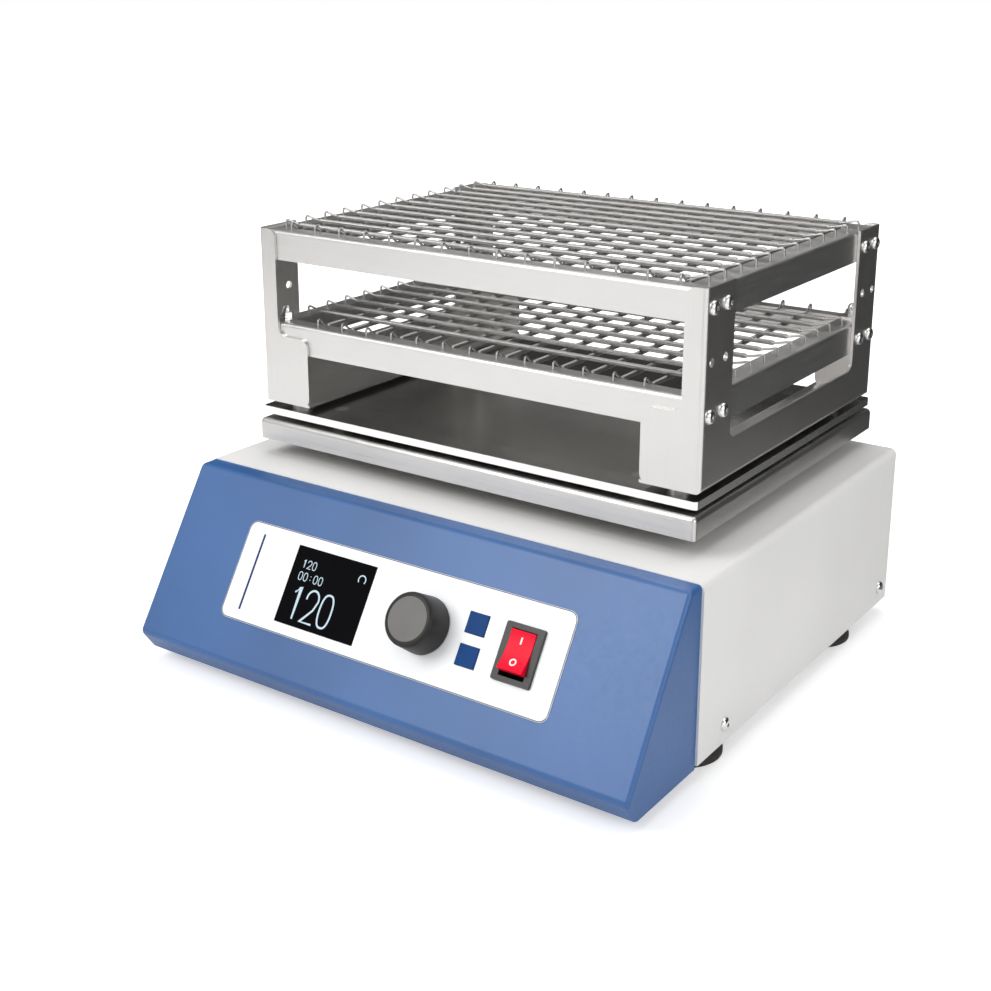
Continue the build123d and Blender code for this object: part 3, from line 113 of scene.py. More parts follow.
# Materials
class Paint:
    """A material built round one Principled shader, with its patterns in object coordinates."""

    def __init__(self, name, colour, metallic, roughness, **sockets):
        self.material = bpy.data.materials.new(name)
        self.material.use_nodes = True
        self.tree = self.material.node_tree
        self.shader = self.tree.nodes["Principled BSDF"]
        self.place = node_in(self.tree, "ShaderNodeTexCoord")
        sockets = {"Base_Color": (*colour, 1), "Metallic": metallic, "Roughness": roughness, **sockets}
        for socket, value in sockets.items():
            self.shader.inputs[socket.replace("_", " ")].default_value = value

    def noise(self, scale, stretch=(1, 1, 1), detail=3, rough=0.55):
        """A noise pattern, drawn out along the axes whose stretch is small."""
        mapping = node_in(self.tree, "ShaderNodeMapping")
        mapping.inputs["Scale"].default_value = stretch
        self.tree.links.new(self.place.outputs["Object"], mapping.inputs["Vector"])
        noise = node_in(self.tree, "ShaderNodeTexNoise")
        for name, number in (("Scale", scale), ("Detail", detail), ("Roughness", rough)):
            noise.inputs[name].default_value = number
        self.tree.links.new(mapping.outputs["Vector"], noise.inputs["Vector"])
        return noise.outputs["Fac"]

    def range(self, value, low, high, start=0.3, end=0.7):
        """The pattern's middle spread over a range of numbers."""
        return spread(self.tree, value, low, high, start, end)

    def blend(self, factor, first, second):
        """Base colour that goes from one colour to another, each a colour or a socket."""
        mix = node_in(self.tree, "ShaderNodeMix", data_type="RGBA")
        self.tree.links.new(factor, mix.inputs["Factor"])
        for name, colour in (("A", first), ("B", second)):
            if isinstance(colour, tuple):
                mix.inputs[name].default_value = (*colour, 1)
            else:
                self.tree.links.new(colour, mix.inputs[name])
        self.tree.links.new(mix.outputs["Result"], self.shader.inputs["Base Color"])

    def tint(self, value, colour, contrast):
        """Base colour a little darker and lighter with the pattern."""
        self.blend(self.range(value, 0, 1), shade(colour, 1 - contrast), shade(colour, 1 + contrast))

    def rough(self, value, low, high):
        """Roughness that follows the pattern."""
        self.tree.links.new(self.range(value, low, high), self.shader.inputs["Roughness"])

    def bump(self, value, strength, distance):
        """Relief that follows the pattern."""
        node = node_in(self.tree, "ShaderNodeBump")
        node.inputs["Strength"].default_value = strength
        node.inputs["Distance"].default_value = distance
        self.tree.links.new(value, node.inputs["Height"])
        self.tree.links.new(node.outputs["Normal"], self.shader.inputs["Normal"])

    def painted_edge_highlight(self, edge):
        """Painted highlight: upright faces get a lighter base colour than the faces that lie flat, standing
        in for the bright reflection they catch.
        """
        flat = self.shader.inputs["Base Color"].links[0].from_socket
        axes = node_in(self.tree, "ShaderNodeSeparateXYZ")
        self.tree.links.new(self.place.outputs["Normal"], axes.inputs[0])
        self.blend(calculate(self.tree, "ABSOLUTE", axes.outputs["Z"]), edge, flat)


def shade(colour, factor):
    """A colour made darker or lighter."""
    return tuple(min(1.0, channel * factor) for channel in colour)


def brushed(name, colour, roughness, grain, contrast=0.10, relief=0.10, edge=None):
    """Brushed metal with its grain drawn along the axes whose factor is small, and soft blotches; an edge
    colour, if given, is a painted highlight on its upright faces.
    """
    metal = Paint(name, colour, 1.0, roughness)
    streaks = metal.noise(900, grain, 4, 0.7)
    clouds = metal.noise(14)
    both = calculate(metal.tree, "ADD", metal.range(streaks, 0, 0.6), metal.range(clouds, 0, 0.4))
    metal.blend(metal.range(both, 0, 1, 0, 1), shade(colour, 1 - contrast), shade(colour, 1 + contrast))
    metal.rough(streaks, roughness * 0.85, roughness * 1.2)
    metal.bump(streaks, relief, 0.00004)
    # A painted highlight: the upright faces take the lighter edge colour.
    if edge:
        metal.painted_edge_highlight(edge)
    return metal.material


def turned(name, colour, roughness, strength=0.06):
    """Machined or drawn metal with faint tool marks."""
    metal = Paint(name, colour, 1.0, roughness)
    marks = metal.noise(1600)
    metal.blend(metal.range(metal.noise(60), 0, 1), shade(colour, 0.93), shade(colour, 1.05))
    metal.rough(marks, roughness * 0.85, roughness * 1.2)
    metal.bump(marks, strength, 0.00003)
    return metal.material


def enamel(name, colour, roughness, texture, strength, contrast=0.03, gloss=0.5):
    """Sprayed paint with a fine orange peel and a little unevenness of colour."""
    paint = Paint(name, colour, 0.0, roughness, Specular_IOR_Level=gloss)
    peel = paint.noise(texture, detail=2)
    paint.tint(paint.noise(9, detail=2), colour, contrast)
    paint.rough(peel, roughness * 0.9, roughness * 1.1)
    paint.bump(peel, strength, 0.0002)
    return paint.material


def moulded(name, colour, roughness, strength=0.05, contrast=0.06, gloss=0.5):
    """Moulded plastic, rubber or print with a fine grain and a little unevenness of colour."""
    plastic = Paint(name, colour, 0.0, roughness, Specular_IOR_Level=gloss)
    clouds = plastic.noise(30)
    plastic.tint(clouds, colour, contrast)
    plastic.rough(clouds, roughness * 0.9, roughness * 1.1)
    plastic.bump(plastic.noise(2600, detail=2), strength, 0.00005)
    return plastic.material


def lit(name, colour, strength):
    """Near-black that gives off a coloured light."""
    dark = (0.02, 0.02, 0.02)
    figure = Paint(name, dark, 0.0, 0.4, Emission_Color=(*colour, 1), Emission_Strength=strength)
    figure.blend(figure.range(figure.noise(300), 0, 1), dark, shade(dark, 1.5))
    return figure.material


FLAT_GRAIN = (0.02, 0.02, 1.0)
UPRIGHT_GRAIN = (1.0, 1.0, 0.02)
GRAIN_ACROSS = (0.02, 1.0, 1.0)
NO_GRAIN = (1, 1, 1)
recipes = {
    "cover_paint": (enamel, (0.79, 0.785, 0.77), 0.5, 900, 0.10),
    "panel_paint": (enamel, (0.025, 0.103, 0.295), 0.38, 420, 0.16, 0.12, 0.62),
    "tray_steel": (brushed, (0.62, 0.61, 0.60), 0.32, FLAT_GRAIN),
    # The plate's last colour is a painted highlight on its upright edges.
    "plate_metal": (brushed, (0.54, 0.53, 0.51), 0.22, GRAIN_ACROSS, 0.20, 0.10, (0.90, 0.89, 0.88)),
    "rack_steel": (brushed, (0.71, 0.695, 0.68), 0.33, UPRIGHT_GRAIN, 0.035, 0.03),
    "frame_steel": (brushed, (0.72, 0.71, 0.70), 0.36, FLAT_GRAIN, 0.035, 0.03),
    "spring_steel": (turned, (0.46, 0.45, 0.44), 0.30),
    "bright_screw": (turned, (0.82, 0.82, 0.81), 0.16),
    "zinc_screw": (turned, (0.66, 0.66, 0.66), 0.35),
    "foot_rubber": (moulded, (0.030, 0.026, 0.022), 0.65, 0.2),
    "overlay_film": (enamel, (0.86, 0.87, 0.88), 0.38, 1500, 0.05, 0.01),
    "display_glass": (moulded, (0.004, 0.004, 0.005), 0.12, 0.0, 0.1, 0.02),
    "circuit_board": (moulded, (0.02, 0.13, 0.07), 0.4, 0.2),
    "key_plastic": (moulded, (0.005, 0.048, 0.185), 0.5, 0.08, 0.06, 0.12),
    "knob_plastic": (moulded, (0.016, 0.015, 0.014), 0.42, 0.12, 0.06, 0.3),
    "switch_black": (moulded, (0.022, 0.020, 0.019), 0.40, 0.15),
    "rocker_red": (moulded, (0.78, 0.0015, 0.026), 0.38, 0.02, 0.05, 0.15),
    "machined_steel": (turned, (0.56, 0.56, 0.55), 0.3),
    "bearing_steel": (turned, (0.72, 0.72, 0.71), 0.18),
    "cast_metal": (turned, (0.60, 0.60, 0.60), 0.42, 0.3),
    "galvanised": (brushed, (0.58, 0.59, 0.60), 0.45, NO_GRAIN, 0.18),
    "counter_iron": (moulded, (0.07, 0.07, 0.07), 0.6, 0.4),
    "belt_rubber": (moulded, (0.02, 0.02, 0.02), 0.6, 0.3),
    "motor_case": (enamel, (0.03, 0.03, 0.03), 0.4, 900, 0.2),
    "inlet_plastic": (moulded, (0.02, 0.02, 0.02), 0.5, 0.15),
    "navy_ink": (moulded, (0.006, 0.030, 0.13), 0.5, 0.0, 0.05, 0.2),
    "outline_ink": (moulded, (0.03, 0.04, 0.08), 0.45, 0.0),
    # The knob face's lighter grey is a painted sheen.
    "disc_print": (moulded, (0.15, 0.146, 0.14), 0.5, 0.25, 0.12, 0.3),
    "mark_ink": (moulded, (0.85, 0.80, 0.80), 0.4, 0.0),
    "lit_segment": (lit, (0.62, 0.81, 0.92), 0.9),
}
finishes = {name: make(name, *values) for name, (make, *values) in recipes.items()}

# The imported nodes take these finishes
for entry in frame["record"]["subparts"]:
    mesh = frame["nodes"][entry["node"]].data
    mesh.materials.clear()
    mesh.materials.append(finishes[entry["material_slot"]])
    mesh.shade_smooth()
    mesh.set_sharp_from_angle(angle=radians(SHARP_BEND))


# Pieces and where they stand
def stand(mesh, name, body, place):
    """A mesh that belongs to the object, at a place, riding on a body."""
    made = bpy.data.objects.new(name, mesh)
    made.matrix_world = place
    bpy.context.scene.collection.objects.link(made)
    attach(made, body)
    return made


def piece(name, points, faces, finish, body, place=Matrix(), bend=SHARP_BEND):
    """A new piece of the object, smooth where it turns by less than a bend."""
    mesh = bpy.data.meshes.new(name)
    mesh.from_pydata([tuple(point) for point in points], [], faces)
    mesh.validate()
    mesh.materials.append(finishes[finish])
    mesh.shade_smooth()
    mesh.set_sharp_from_angle(angle=radians(bend))
    return stand(mesh, name, body, place)


def frame_at(origin, x_direction, z_direction):
    """A matrix that stands at a place with its x and z along two directions."""
    z = z_direction.normalized()
    x = (x_direction - z * z.dot(x_direction)).normalized()
    turn = Matrix((x, z.cross(x), z)).transposed()
    return Matrix.Translation(origin) @ turn.to_4x4()


# Shapes
def ring(radius, height, sides):
    """A circle of points about z."""
    turns = [2 * pi * k / sides for k in range(sides)]
    return [Vector((radius * cos(turn), radius * sin(turn), height)) for turn in turns]


def band(low, high, sides):
    """The faces between two closed rows of points, given by the number of their first point."""
    return [(low + k, low + (k + 1) % sides, high + (k + 1) % sides, high + k) for k in range(sides)]


def hexagon(turn):
    """How far out a hexagon's side lies at a turn, as the divisor of its middle's distance."""
    return cos((turn + pi / 6) % (pi / 3) - pi / 6)


def arc(centre, radius, turns):
    """Flat points of an arc."""
    return [(centre[0] + radius * cos(turn), centre[1] + radius * sin(turn)) for turn in turns]


def lathe(profile, sides):
    """Points and faces of a profile of (radius, height) turned about z; it may end on the axis."""
    points, faces, rings = [], [], []
    for radius, height in profile:
        count = sides if radius else 1
        rings.append(range(len(points), len(points) + count))
        points += ring(radius * MM, height * MM, count)
    for low, high in zip(rings, rings[1:]):
        for k in range(sides):
            after = k + 1
            corners = (low[k % len(low)], low[after % len(low)], high[after % len(high)], high[k % len(high)])
            different = list(dict.fromkeys(corners))
            if len(different) > 2:
                faces.append(different)
    return points, faces


def tube(path, radius, sides, points, faces):
    """Adds a round wire along a path that lies in the xz plane, closed at both ends."""
    start = len(points)
    last = start + (len(path) - 1) * sides
    for index, place in enumerate(path):
        before, after = path[max(index - 1, 0)], path[min(index + 1, len(path) - 1)]
        across = Y.cross((after - before).normalized())
        for k in range(sides):
            turn = 2 * pi * k / sides
            points.append(place + radius * (cos(turn) * Y + sin(turn) * across))
    for low in range(start, last, sides):
        faces += band(low, low + sides, sides)
    faces.append(tuple(start + k for k in reversed(range(sides))))
    faces.append(tuple(last + k for k in range(sides)))


def smooth_path(corners, steps):
    """A rounded path through the middles of a control polygon's sides."""
    path = [corners[0]]
    for a, b, c in zip(corners, corners[1:], corners[2:]):
        start = (a + b) / 2 if a is not corners[0] else a
        end = (b + c) / 2 if c is not corners[-1] else c
        for k in range(1, steps + 1):
            t = k / steps
            path.append(start * (1 - t) ** 2 + b * 2 * t * (1 - t) + end * t * t)
    return path


def rounded(width, height, corner, steps=6, centre=(0, 0)):
    """The outline of a rounded rectangle, anticlockwise."""
    outline = []
    for sx, sy, start in ((1, -1, -90), (1, 1, 0), (-1, 1, 90), (-1, -1, 180)):
        middle_x = centre[0] + sx * (width / 2 - corner)
        middle_y = centre[1] + sy * (height / 2 - corner)
        turns = [radians(start + 90 * k / steps) for k in range(steps + 1)]
        outline += arc((middle_x, middle_y), corner, turns)
    return outline


# Directions and places on the sloped panel
SLOPE_RUN = 64.7
SLOPE_RISE = 101.4
FILM = 0.6
PRINT_HEIGHT = 0.04
FIGURE_HEIGHT = 0.05
slope_up = Vector((0, SLOPE_RUN, SLOPE_RISE)).normalized()
slope_out = Vector((0, -SLOPE_RISE, SLOPE_RUN)).normalized()
slope_origin = middle("control_overlay") - slope_out * FILM / 2 * MM


def on_slope(x, up=0.0, out=0.0):
    """A place across the panel, up from its middle and out of it."""
    return slope_origin + (X * x + slope_up * up + slope_out * out) * MM


def printed(name, outline, hole, finish):
    """A flat print on the film: an outline, less an inner outline of as many points."""
    points = [on_slope(x, up, FILM + PRINT_HEIGHT) for x, up in outline + hole]
    count = len(outline)
    faces = band(0, count, count) if hole else [tuple(range(count))]
    return piece(name, points, faces, finish, "base")


# Printing on the overlay: its outline and one plain rule at the left
printed("overlay_outline", rounded(254.6, 65.1, 5.8), rounded(253.5, 64.0, 5.3), "outline_ink")
printed("overlay_rule", rounded(1.7, 51, 0.3, 2, (-113, 0)), [], "navy_ink")

# Figures on the display: width, height, pitch and line of each size
LARGE_FIGURES = (9.6, 21, 12.4, 1.3)
SMALL_FIGURES = (2.9, 5.2, 4.2, 0.55)
FIGURES_LEFT = -25
ARROW_MIDDLE = (24, 15)
ARROW_OUTER = 3.2
ARROW_INNER = 2.4
display_x = middle("display_window").x / MM
figure_out = FILM + FIGURE_HEIGHT


def squared(value, power):
    """A sine or cosine pushed outwards, which squares an oval off."""
    return abs(value) ** power * (1 if value >= 0 else -1)


def glyph(sign, wide, tall):
    """The strokes of a thin figure, from its lower left corner; a closed stroke ends where it starts."""
    if sign == "0":
        turns = [2 * pi * k / 32 for k in range(33)]
        return [[
            (wide / 2 * (1 + squared(cos(turn), 0.75)), tall / 2 * (1 + squared(sin(turn), 0.85)))
            for turn in turns
        ]]
    if sign == "1":
        return [[(wide * 0.18, tall * 0.80), (wide * 0.58, tall), (wide * 0.58, 0)]]
    if sign == "2":
        turns = [radians(angle) for angle in range(-8, 189, 14)]
        bow = [(wide / 2 - wide / 2 * cos(turn), tall * 0.73 + tall * 0.27 * sin(turn)) for turn in turns]
        return [bow + [(wide * 0.78, tall * 0.42), (0, 0), (wide, 0)]]
    dots = ((0.66, 0.78), (0.22, 0.34))
    return [[(wide * 0.5, tall * low), (wide * 0.5, tall * high)] for low, high in dots]


def stroke_edges(places, line):
    """Pairs of places on either side of a stroke, half a line's width out."""
    closed = (places[0] - places[-1]).length < 1e-6
    for k, place in enumerate(places):
        before = places[k - 1] if k else (places[-2] if closed else place)
        after = places[k + 1] if k + 1 < len(places) else (places[1] if closed else place)
        along = (after - before).normalized()
        side = Vector((-along.y, along.x)) * line / 2
        if 0 < k < len(places) - 1:
            bend = (place - before).normalized().dot((after - place).normalized())
            side = side / max(0.5, ((1 + bend) / 2) ** 0.5)
        yield place + side
        yield place - side


def figures(name, text, size, up):
    """Lit figures on the display, drawn in thin strokes from their lower left corner."""
    wide, tall, pitch, line = size
    points, faces = [], []
    for index, sign in enumerate(text):
        for stroke in glyph(sign, wide, tall):
            places = [Vector((x + index * pitch + FIGURES_LEFT, y + up)) for x, y in stroke]
            start = len(points)
            edges = stroke_edges(places, line)
            points += [on_slope(display_x + edge.x, edge.y, figure_out) for edge in edges]
            faces += [(low, low + 1, low + 3, low + 2) for low in range(start, len(points) - 2, 2)]
    return piece(name, points, faces, "lit_segment", "base")


figures("figures_speed", "120", LARGE_FIGURES, -21)
figures("figures_set", "120", SMALL_FIGURES, 12)
figures("figures_time", "00:00", SMALL_FIGURES, 4)
turns = [radians(angle) for angle in range(-40, 221, 20)]
arrow = arc(ARROW_MIDDLE, ARROW_OUTER, turns) + arc(ARROW_MIDDLE, ARROW_INNER, turns)
arrow_points = [on_slope(display_x + x, up, figure_out) for x, up in arrow]
piece("display_arrow", arrow_points, band(0, len(turns), len(turns))[:-1], "lit_segment", "base")

# Knob: a tapered skirt, a small bevel and a flat face with a lighter disc, whose grey is a painted sheen
KNOB_SIDES = 96
knob_profile = [
    (15.2, 1.4), (17.6, 1.4), (18.0, 1.75), (17.9, 3.5), (17.2, 12.0), (16.75, 18.6),
    (16.62, 19.1), (16.30, 19.25), (16.05, 19.5), (15.9, 20.1), (15.55, 20.45), (15.0, 20.6),
    (0, 20.6),
]
disc_profile = [(13.6, 20.60), (13.5, 20.66), (13.1, 20.66), (0, 20.66)]
knob_at = frame_at(on_slope(middle("knob").x / MM), X, slope_out)
knob_cap = piece("knob_cap", *lathe(knob_profile, KNOB_SIDES), "knob_plastic", "control_knob", knob_at)
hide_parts("knob")
# The disc's lighter grey is a painted sheen on the knob's face.
piece("knob_disc", *lathe(disc_profile, KNOB_SIDES), "disc_print", "control_knob", knob_at)

# Marks on the rocker: a bar on its pressed end and a ring on its raised end
ROCKER_X = 97.7
ROCKER_PIVOT_DEPTH = 5.0
ROCKER_TILT = 9
ROCKER_HALF = 12.2
ROCKER_DIP = 2.0
ROCKER_FLOOR = 8.0
MARK_HEIGHT = 0.06
BAR_HALF = 0.55
BAR_ENDS = (4.6, 6.6, 8.6)
RING_MIDDLE = (0, -6.6)
RING_OUTER = 2.3
RING_INNER = 1.35
RING_SIDES = 40
pivot = on_slope(ROCKER_X, 0, FILM - ROCKER_PIVOT_DEPTH)
tilt = radians(ROCKER_TILT)
rocker_up = slope_up * cos(tilt) - slope_out * sin(tilt)
rocker_out = slope_out * cos(tilt) + slope_up * sin(tilt)


def on_rocker(x, up):
    """A place on the rocker's hollow face, a hair above it."""
    radius = (ROCKER_HALF ** 2 + ROCKER_DIP ** 2) / (2 * ROCKER_DIP)
    height = ROCKER_FLOOR + radius - (radius ** 2 - up ** 2) ** 0.5
    return pivot + (X * x + rocker_up * up + rocker_out * (height + MARK_HEIGHT)) * MM


low, centre, high = BAR_ENDS
bar = [
    (-BAR_HALF, low), (BAR_HALF, low), (BAR_HALF, centre),
    (BAR_HALF, high), (-BAR_HALF, high), (-BAR_HALF, centre),
]
bar_points = [on_rocker(x, up) for x, up in bar]
piece("rocker_bar", bar_points, [(0, 1, 2, 5), (5, 2, 3, 4)], "mark_ink", "rocker")
turns = [2 * pi * k / RING_SIDES for k in range(RING_SIDES)]
circles = arc(RING_MIDDLE, RING_OUTER, turns) + arc(RING_MIDDLE, RING_INNER, turns)
circle_points = [on_rocker(x, up) for x, up in circles]
piece("rocker_ring", circle_points, band(0, RING_SIDES, RING_SIDES), "mark_ink", "rocker")

# Screws and nuts
SCREW_HEAD = 9.0
SCREW_RISE = 2.6
HEAD_EDGE = 0.2
HEAD_DOME_START = 10
HEAD_DOME_END = 72
HEAD_DOME_RINGS = 7
HEAD_SIDES = 36
SOCKET_BEVEL = 0.25
SOCKET_DEPTH = 1.5
NUT_FLATS = 8.0
NUT_HEIGHT = 4.0
NUT_TOTAL = 8.6
NUT_SIDES = 48
DOME_STEPS = 9


def button_head(socket, shank, length):
    """Points and faces of a domed head on z = 0, with a hexagon socket and a shank below."""
    profile = [
        (0, -length), (shank / 2 - 0.4, -length), (shank / 2, -length + 0.5), (shank / 2, 0),
        (SCREW_HEAD / 2 - 0.15, 0), (SCREW_HEAD / 2, HEAD_EDGE),
    ]
    for k in range(1, HEAD_DOME_RINGS + 1):
        turn = radians(HEAD_DOME_START + (HEAD_DOME_END - HEAD_DOME_START) * k / HEAD_DOME_RINGS)
        height = HEAD_EDGE + (SCREW_RISE - HEAD_EDGE) * sin(turn) / sin(radians(HEAD_DOME_END))
        profile.append((SCREW_HEAD / 2 * cos(turn) ** 0.75, height))
    points, faces = lathe(profile, HEAD_SIDES)
    rim = len(points) - HEAD_SIDES
    for depth in (0, SOCKET_BEVEL, SOCKET_DEPTH):
        for k in range(HEAD_SIDES):
            turn = 2 * pi * k / HEAD_SIDES
            out = socket / 2 / hexagon(turn)
            points.append(Vector((out * cos(turn), out * sin(turn), SCREW_RISE - depth)) * MM)
    bottom = len(points) - HEAD_SIDES
    for low in range(rim, bottom, HEAD_SIDES):
        faces += band(low, low + HEAD_SIDES, HEAD_SIDES)
    faces.append(tuple(range(bottom, len(points))))
    return points, faces


def cap_nut():
    """Points and faces of a hexagon with chamfered corners under a dome, on z = 0."""
    points, faces = [], []
    levels = [(0, 1, 1), (0.3, 1, 1.155), (NUT_HEIGHT - 0.9, 1, 1.155), (NUT_HEIGHT, 1, 1.02)]
    for level, apothem, limit in levels:
        for k in range(NUT_SIDES):
            turn = 2 * pi * k / NUT_SIDES
            radius = min(NUT_FLATS / 2 * apothem / hexagon(turn), NUT_FLATS / 2 * limit)
            points.append(Vector((radius * cos(turn), radius * sin(turn), level)))
    foot = NUT_HEIGHT + 0.2
    for k in range(DOME_STEPS):
        turn = radians(90 * k / DOME_STEPS)
        radius = NUT_FLATS * 0.42 * cos(turn) ** 0.8
        points += ring(radius, foot + (NUT_TOTAL - foot) * sin(turn), NUT_SIDES)
    top = len(points) - NUT_SIDES
    for low in range(0, top, NUT_SIDES):
        faces += band(low, low + NUT_SIDES, NUT_SIDES)
    faces.append(tuple(range(top, len(points))))
    faces.append(tuple(reversed(range(NUT_SIDES))))
    return [point * MM for point in points], faces


def fasteners(name, node, places, shape, body):
    """The same fastener at several places, standing for a node."""
    first = piece(f"{name}_0", *shape, "bright_screw", body, places[0])
    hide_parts(node)
    for index, place in enumerate(places[1:], 1):
        stand(first.data, f"{name}_{index}", body, place)


def both_sides(left_x, right_x, y, z):
    """Places for a screw through the right and the left side, each turned at random."""
    right = frame_at((right_x, y, z), Y + Z * random.uniform(-1, 1), X)
    left = frame_at((left_x, y, z), Y + Z * random.uniform(-1, 1), -X)
    return [right, left]


# Rack screws: two at each corner of each tier
RACK_HALF_DEPTH = 127
SCREW_INSET = 8.3
SCREW_PITCH = 17
SCREW_DROP = 11
rack_low, rack_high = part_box("side_plate_right")
rack_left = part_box("side_plate_left")[0].x
table_y = (rack_low.y + rack_high.y) / 2
upper_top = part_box("upper_frame")[1].z
lower_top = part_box("lower_frame")[1].z
rack_places = []
for side in (-1, 1):
    for step in (0, SCREW_PITCH):
        y = table_y + side * (RACK_HALF_DEPTH - SCREW_INSET - step) * MM
        for top in (upper_top, lower_top):
            rack_places += both_sides(rack_left, rack_high.x, y, top - SCREW_DROP * MM)
fasteners("rack_screw", "rack_screws", rack_places, button_head(3.0, 5.0, 8.6), "platform")

# Cover screws: two in each side and three behind the panel
SIDE_SCREW_FRONT = 33.3
SIDE_SCREW_BACK = 18.4
SIDE_SCREW_HEIGHT = 12.3
PANEL_WIDTH = 379.2
PANEL_SHEET = 1.5
PANEL_FLANGE = 22
shell_low, shell_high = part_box("housing_shell")
cover_places = []
for y in (shell_low.y + SIDE_SCREW_FRONT * MM, shell_high.y - SIDE_SCREW_BACK * MM):
    cover_places += both_sides(shell_low.x, shell_high.x, y, shell_low.z + SIDE_SCREW_HEIGHT * MM)
for x in (-PANEL_WIDTH / 3, 0, PANEL_WIDTH / 3):
    place = (x * MM, shell_low.y - PANEL_SHEET * MM, shell_low.z + PANEL_FLANGE / 3 * MM)
    cover_places.append(frame_at(place, X, -Y))
fasteners("cover_screw", "housing_screws", cover_places, button_head(2.5, 4.0, 6.8), "base")

# Cap nuts: one on each corner tab
TAB_INSET = 7.5
tab_low, tab_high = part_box("corner_tabs")
cap_places = []
for side_x in (-1, 1):
    for side_y in (-1, 1):
        x = side_x * (tab_high.x - TAB_INSET * MM)
        y = table_y + side_y * ((tab_high.y - tab_low.y) / 2 - TAB_INSET * MM)
        cap_places.append(frame_at((x, y, tab_high.z), X + Y * random.uniform(-0.5, 0.5), Z))
fasteners("cap_nut", "cap_nuts", cap_places, cap_nut(), "platform")

# Spring strands: a close-wound coil between two open hooks
ROD = 3.3
COIL_PITCH = 0.9
COIL_GROOVE = 0.26
COIL_SIDES = 10
RINGS_PER_TURN = 4
COIL_END = 1.6
COIL_END_SHARE = 0.45
HOOK_WIRE = 1.5
FOOT_INSET = 6.5
CROSS_REACH = 11.5
CROSS_HEIGHT = 2.2
ALONG_REACH = 8.6
ALONG_HEIGHT = -1.2
ALONG_PITCH = 21.0
UPPER_CROSS_PITCH = 19.8
LOWER_CROSS_PITCH = 20.0
SWAY = 0.002
frame_low, frame_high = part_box("upper_frame")
hook_x = (frame_high.x - frame_low.x) / 2 / MM - FOOT_INSET
hook_y = (frame_high.y - frame_low.y) / 2 / MM - FOOT_INSET


def strand(name, foot, reach, height):
    """One strand along x: its coil about the given height and a hook at each end."""
    points, faces = [], []
    end = foot - reach
    steps = int(2 * end / COIL_PITCH * RINGS_PER_TURN)
    for i in range(steps + 1):
        x = -end + 2 * end * i / steps
        taper = min(1.0, COIL_END_SHARE + (end - abs(x)) / COIL_END * (1 - COIL_END_SHARE))
        for j in range(COIL_SIDES):
            turn = 2 * pi * j / COIL_SIDES
            wave = abs(sin(pi * (x / COIL_PITCH - j / COIL_SIDES)))
            radius = (ROD / 2 - COIL_GROOVE * (1 - wave) ** 1.5) * taper
            points.append(Vector((x, radius * cos(turn), height + radius * sin(turn))))
    last = steps * COIL_SIDES
    for low in range(0, last, COIL_SIDES):
        faces += band(low, low + COIL_SIDES, COIL_SIDES)
    faces.append(tuple(reversed(range(COIL_SIDES))))
    faces.append(tuple(last + k for k in range(COIL_SIDES)))
    hook = [
        (foot, -2.5), (foot + 0.2, 1.4), (foot - 0.1, 4.3), (foot - 2.6, 4.4),
        (foot - 0.55 * reach, height * 0.45 + 2.2), (end - 0.6, height),
    ]
    for side in (-1, 1):
        corners = [Vector((side * x, 0, z)) for x, z in hook]
        tube(smooth_path(corners, 5), HOOK_WIRE / 2, COIL_SIDES, points, faces)
    points = [point * MM for point in points]
    return piece(name, points, faces, "spring_steel", "platform", bend=SHARP_BEND_OF_A_COIL)


def row_places(top, count, pitch, turn):
    """Places of a row of strands at a frame's top, each swayed a little at random."""
    across = X if turn else Y
    for index in range(count):
        sway = Matrix.Rotation(random.uniform(-SWAY, SWAY), 4, "Z")
        shift = across * ((index - (count - 1) / 2) * pitch * MM)
        yield Matrix.Translation(Vector((0, table_y, top)) + shift) @ Matrix.Rotation(turn, 4, "Z") @ sway


def strands(name, node, first, places):
    """A row of strands that stands for a node; the first strand itself stands in its own row."""
    for index, place in enumerate(places):
        if first.name == f"{name}_{index}":
            made = first
            made.matrix_world = place
            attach(made, "platform")
        else:
            made = stand(first.data, f"{name}_{index}", "platform", place)
        if index == 0:
            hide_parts(node)


cross = strand("upper_cross_strand_0", hook_x, CROSS_REACH, CROSS_HEIGHT)
along = strand("upper_along_strand_0", hook_y, ALONG_REACH, ALONG_HEIGHT)
upper_cross = row_places(upper_top, 12, UPPER_CROSS_PITCH, 0)
upper_along = row_places(upper_top, 15, ALONG_PITCH, pi / 2)
lower_cross = row_places(lower_top, 10, LOWER_CROSS_PITCH, 0)
lower_along = row_places(lower_top, 13, ALONG_PITCH, pi / 2)
strands("upper_cross_strand", "upper_cross_strands", cross, upper_cross)
strands("upper_along_strand", "upper_along_strands", along, upper_along)
strands("lower_cross_strand", "lower_cross_strands", cross, lower_cross)
strands("lower_along_strand", "lower_along_strands", along, lower_along)

# Floor and cards, in metres
FLOOR_HALF = 9
FLOOR_WHITE = 0.85
FLOOR_GLOSS = 0.22
CARPET_HEIGHT = 0.001
STRIP_STEP = 6
TOP_CARD_HALF = 3
TOP_CARD_HEIGHT = 2.7


def stage_mesh(name, points, faces, finish):
    """A mesh of the set."""
    mesh = bpy.data.meshes.new(name)
    mesh.from_pydata(points, [], faces)
    mesh.materials.append(finish)
    made = bpy.data.objects.new(name, mesh)
    bpy.context.scene.collection.objects.link(made)
    return made


def square(name, half, height, finish):
    """A flat square of the set."""
    points = [(-half, -half, height), (half, -half, height), (half, half, height), (-half, half, height)]
    return stage_mesh(name, points, [(0, 1, 2, 3)], finish)


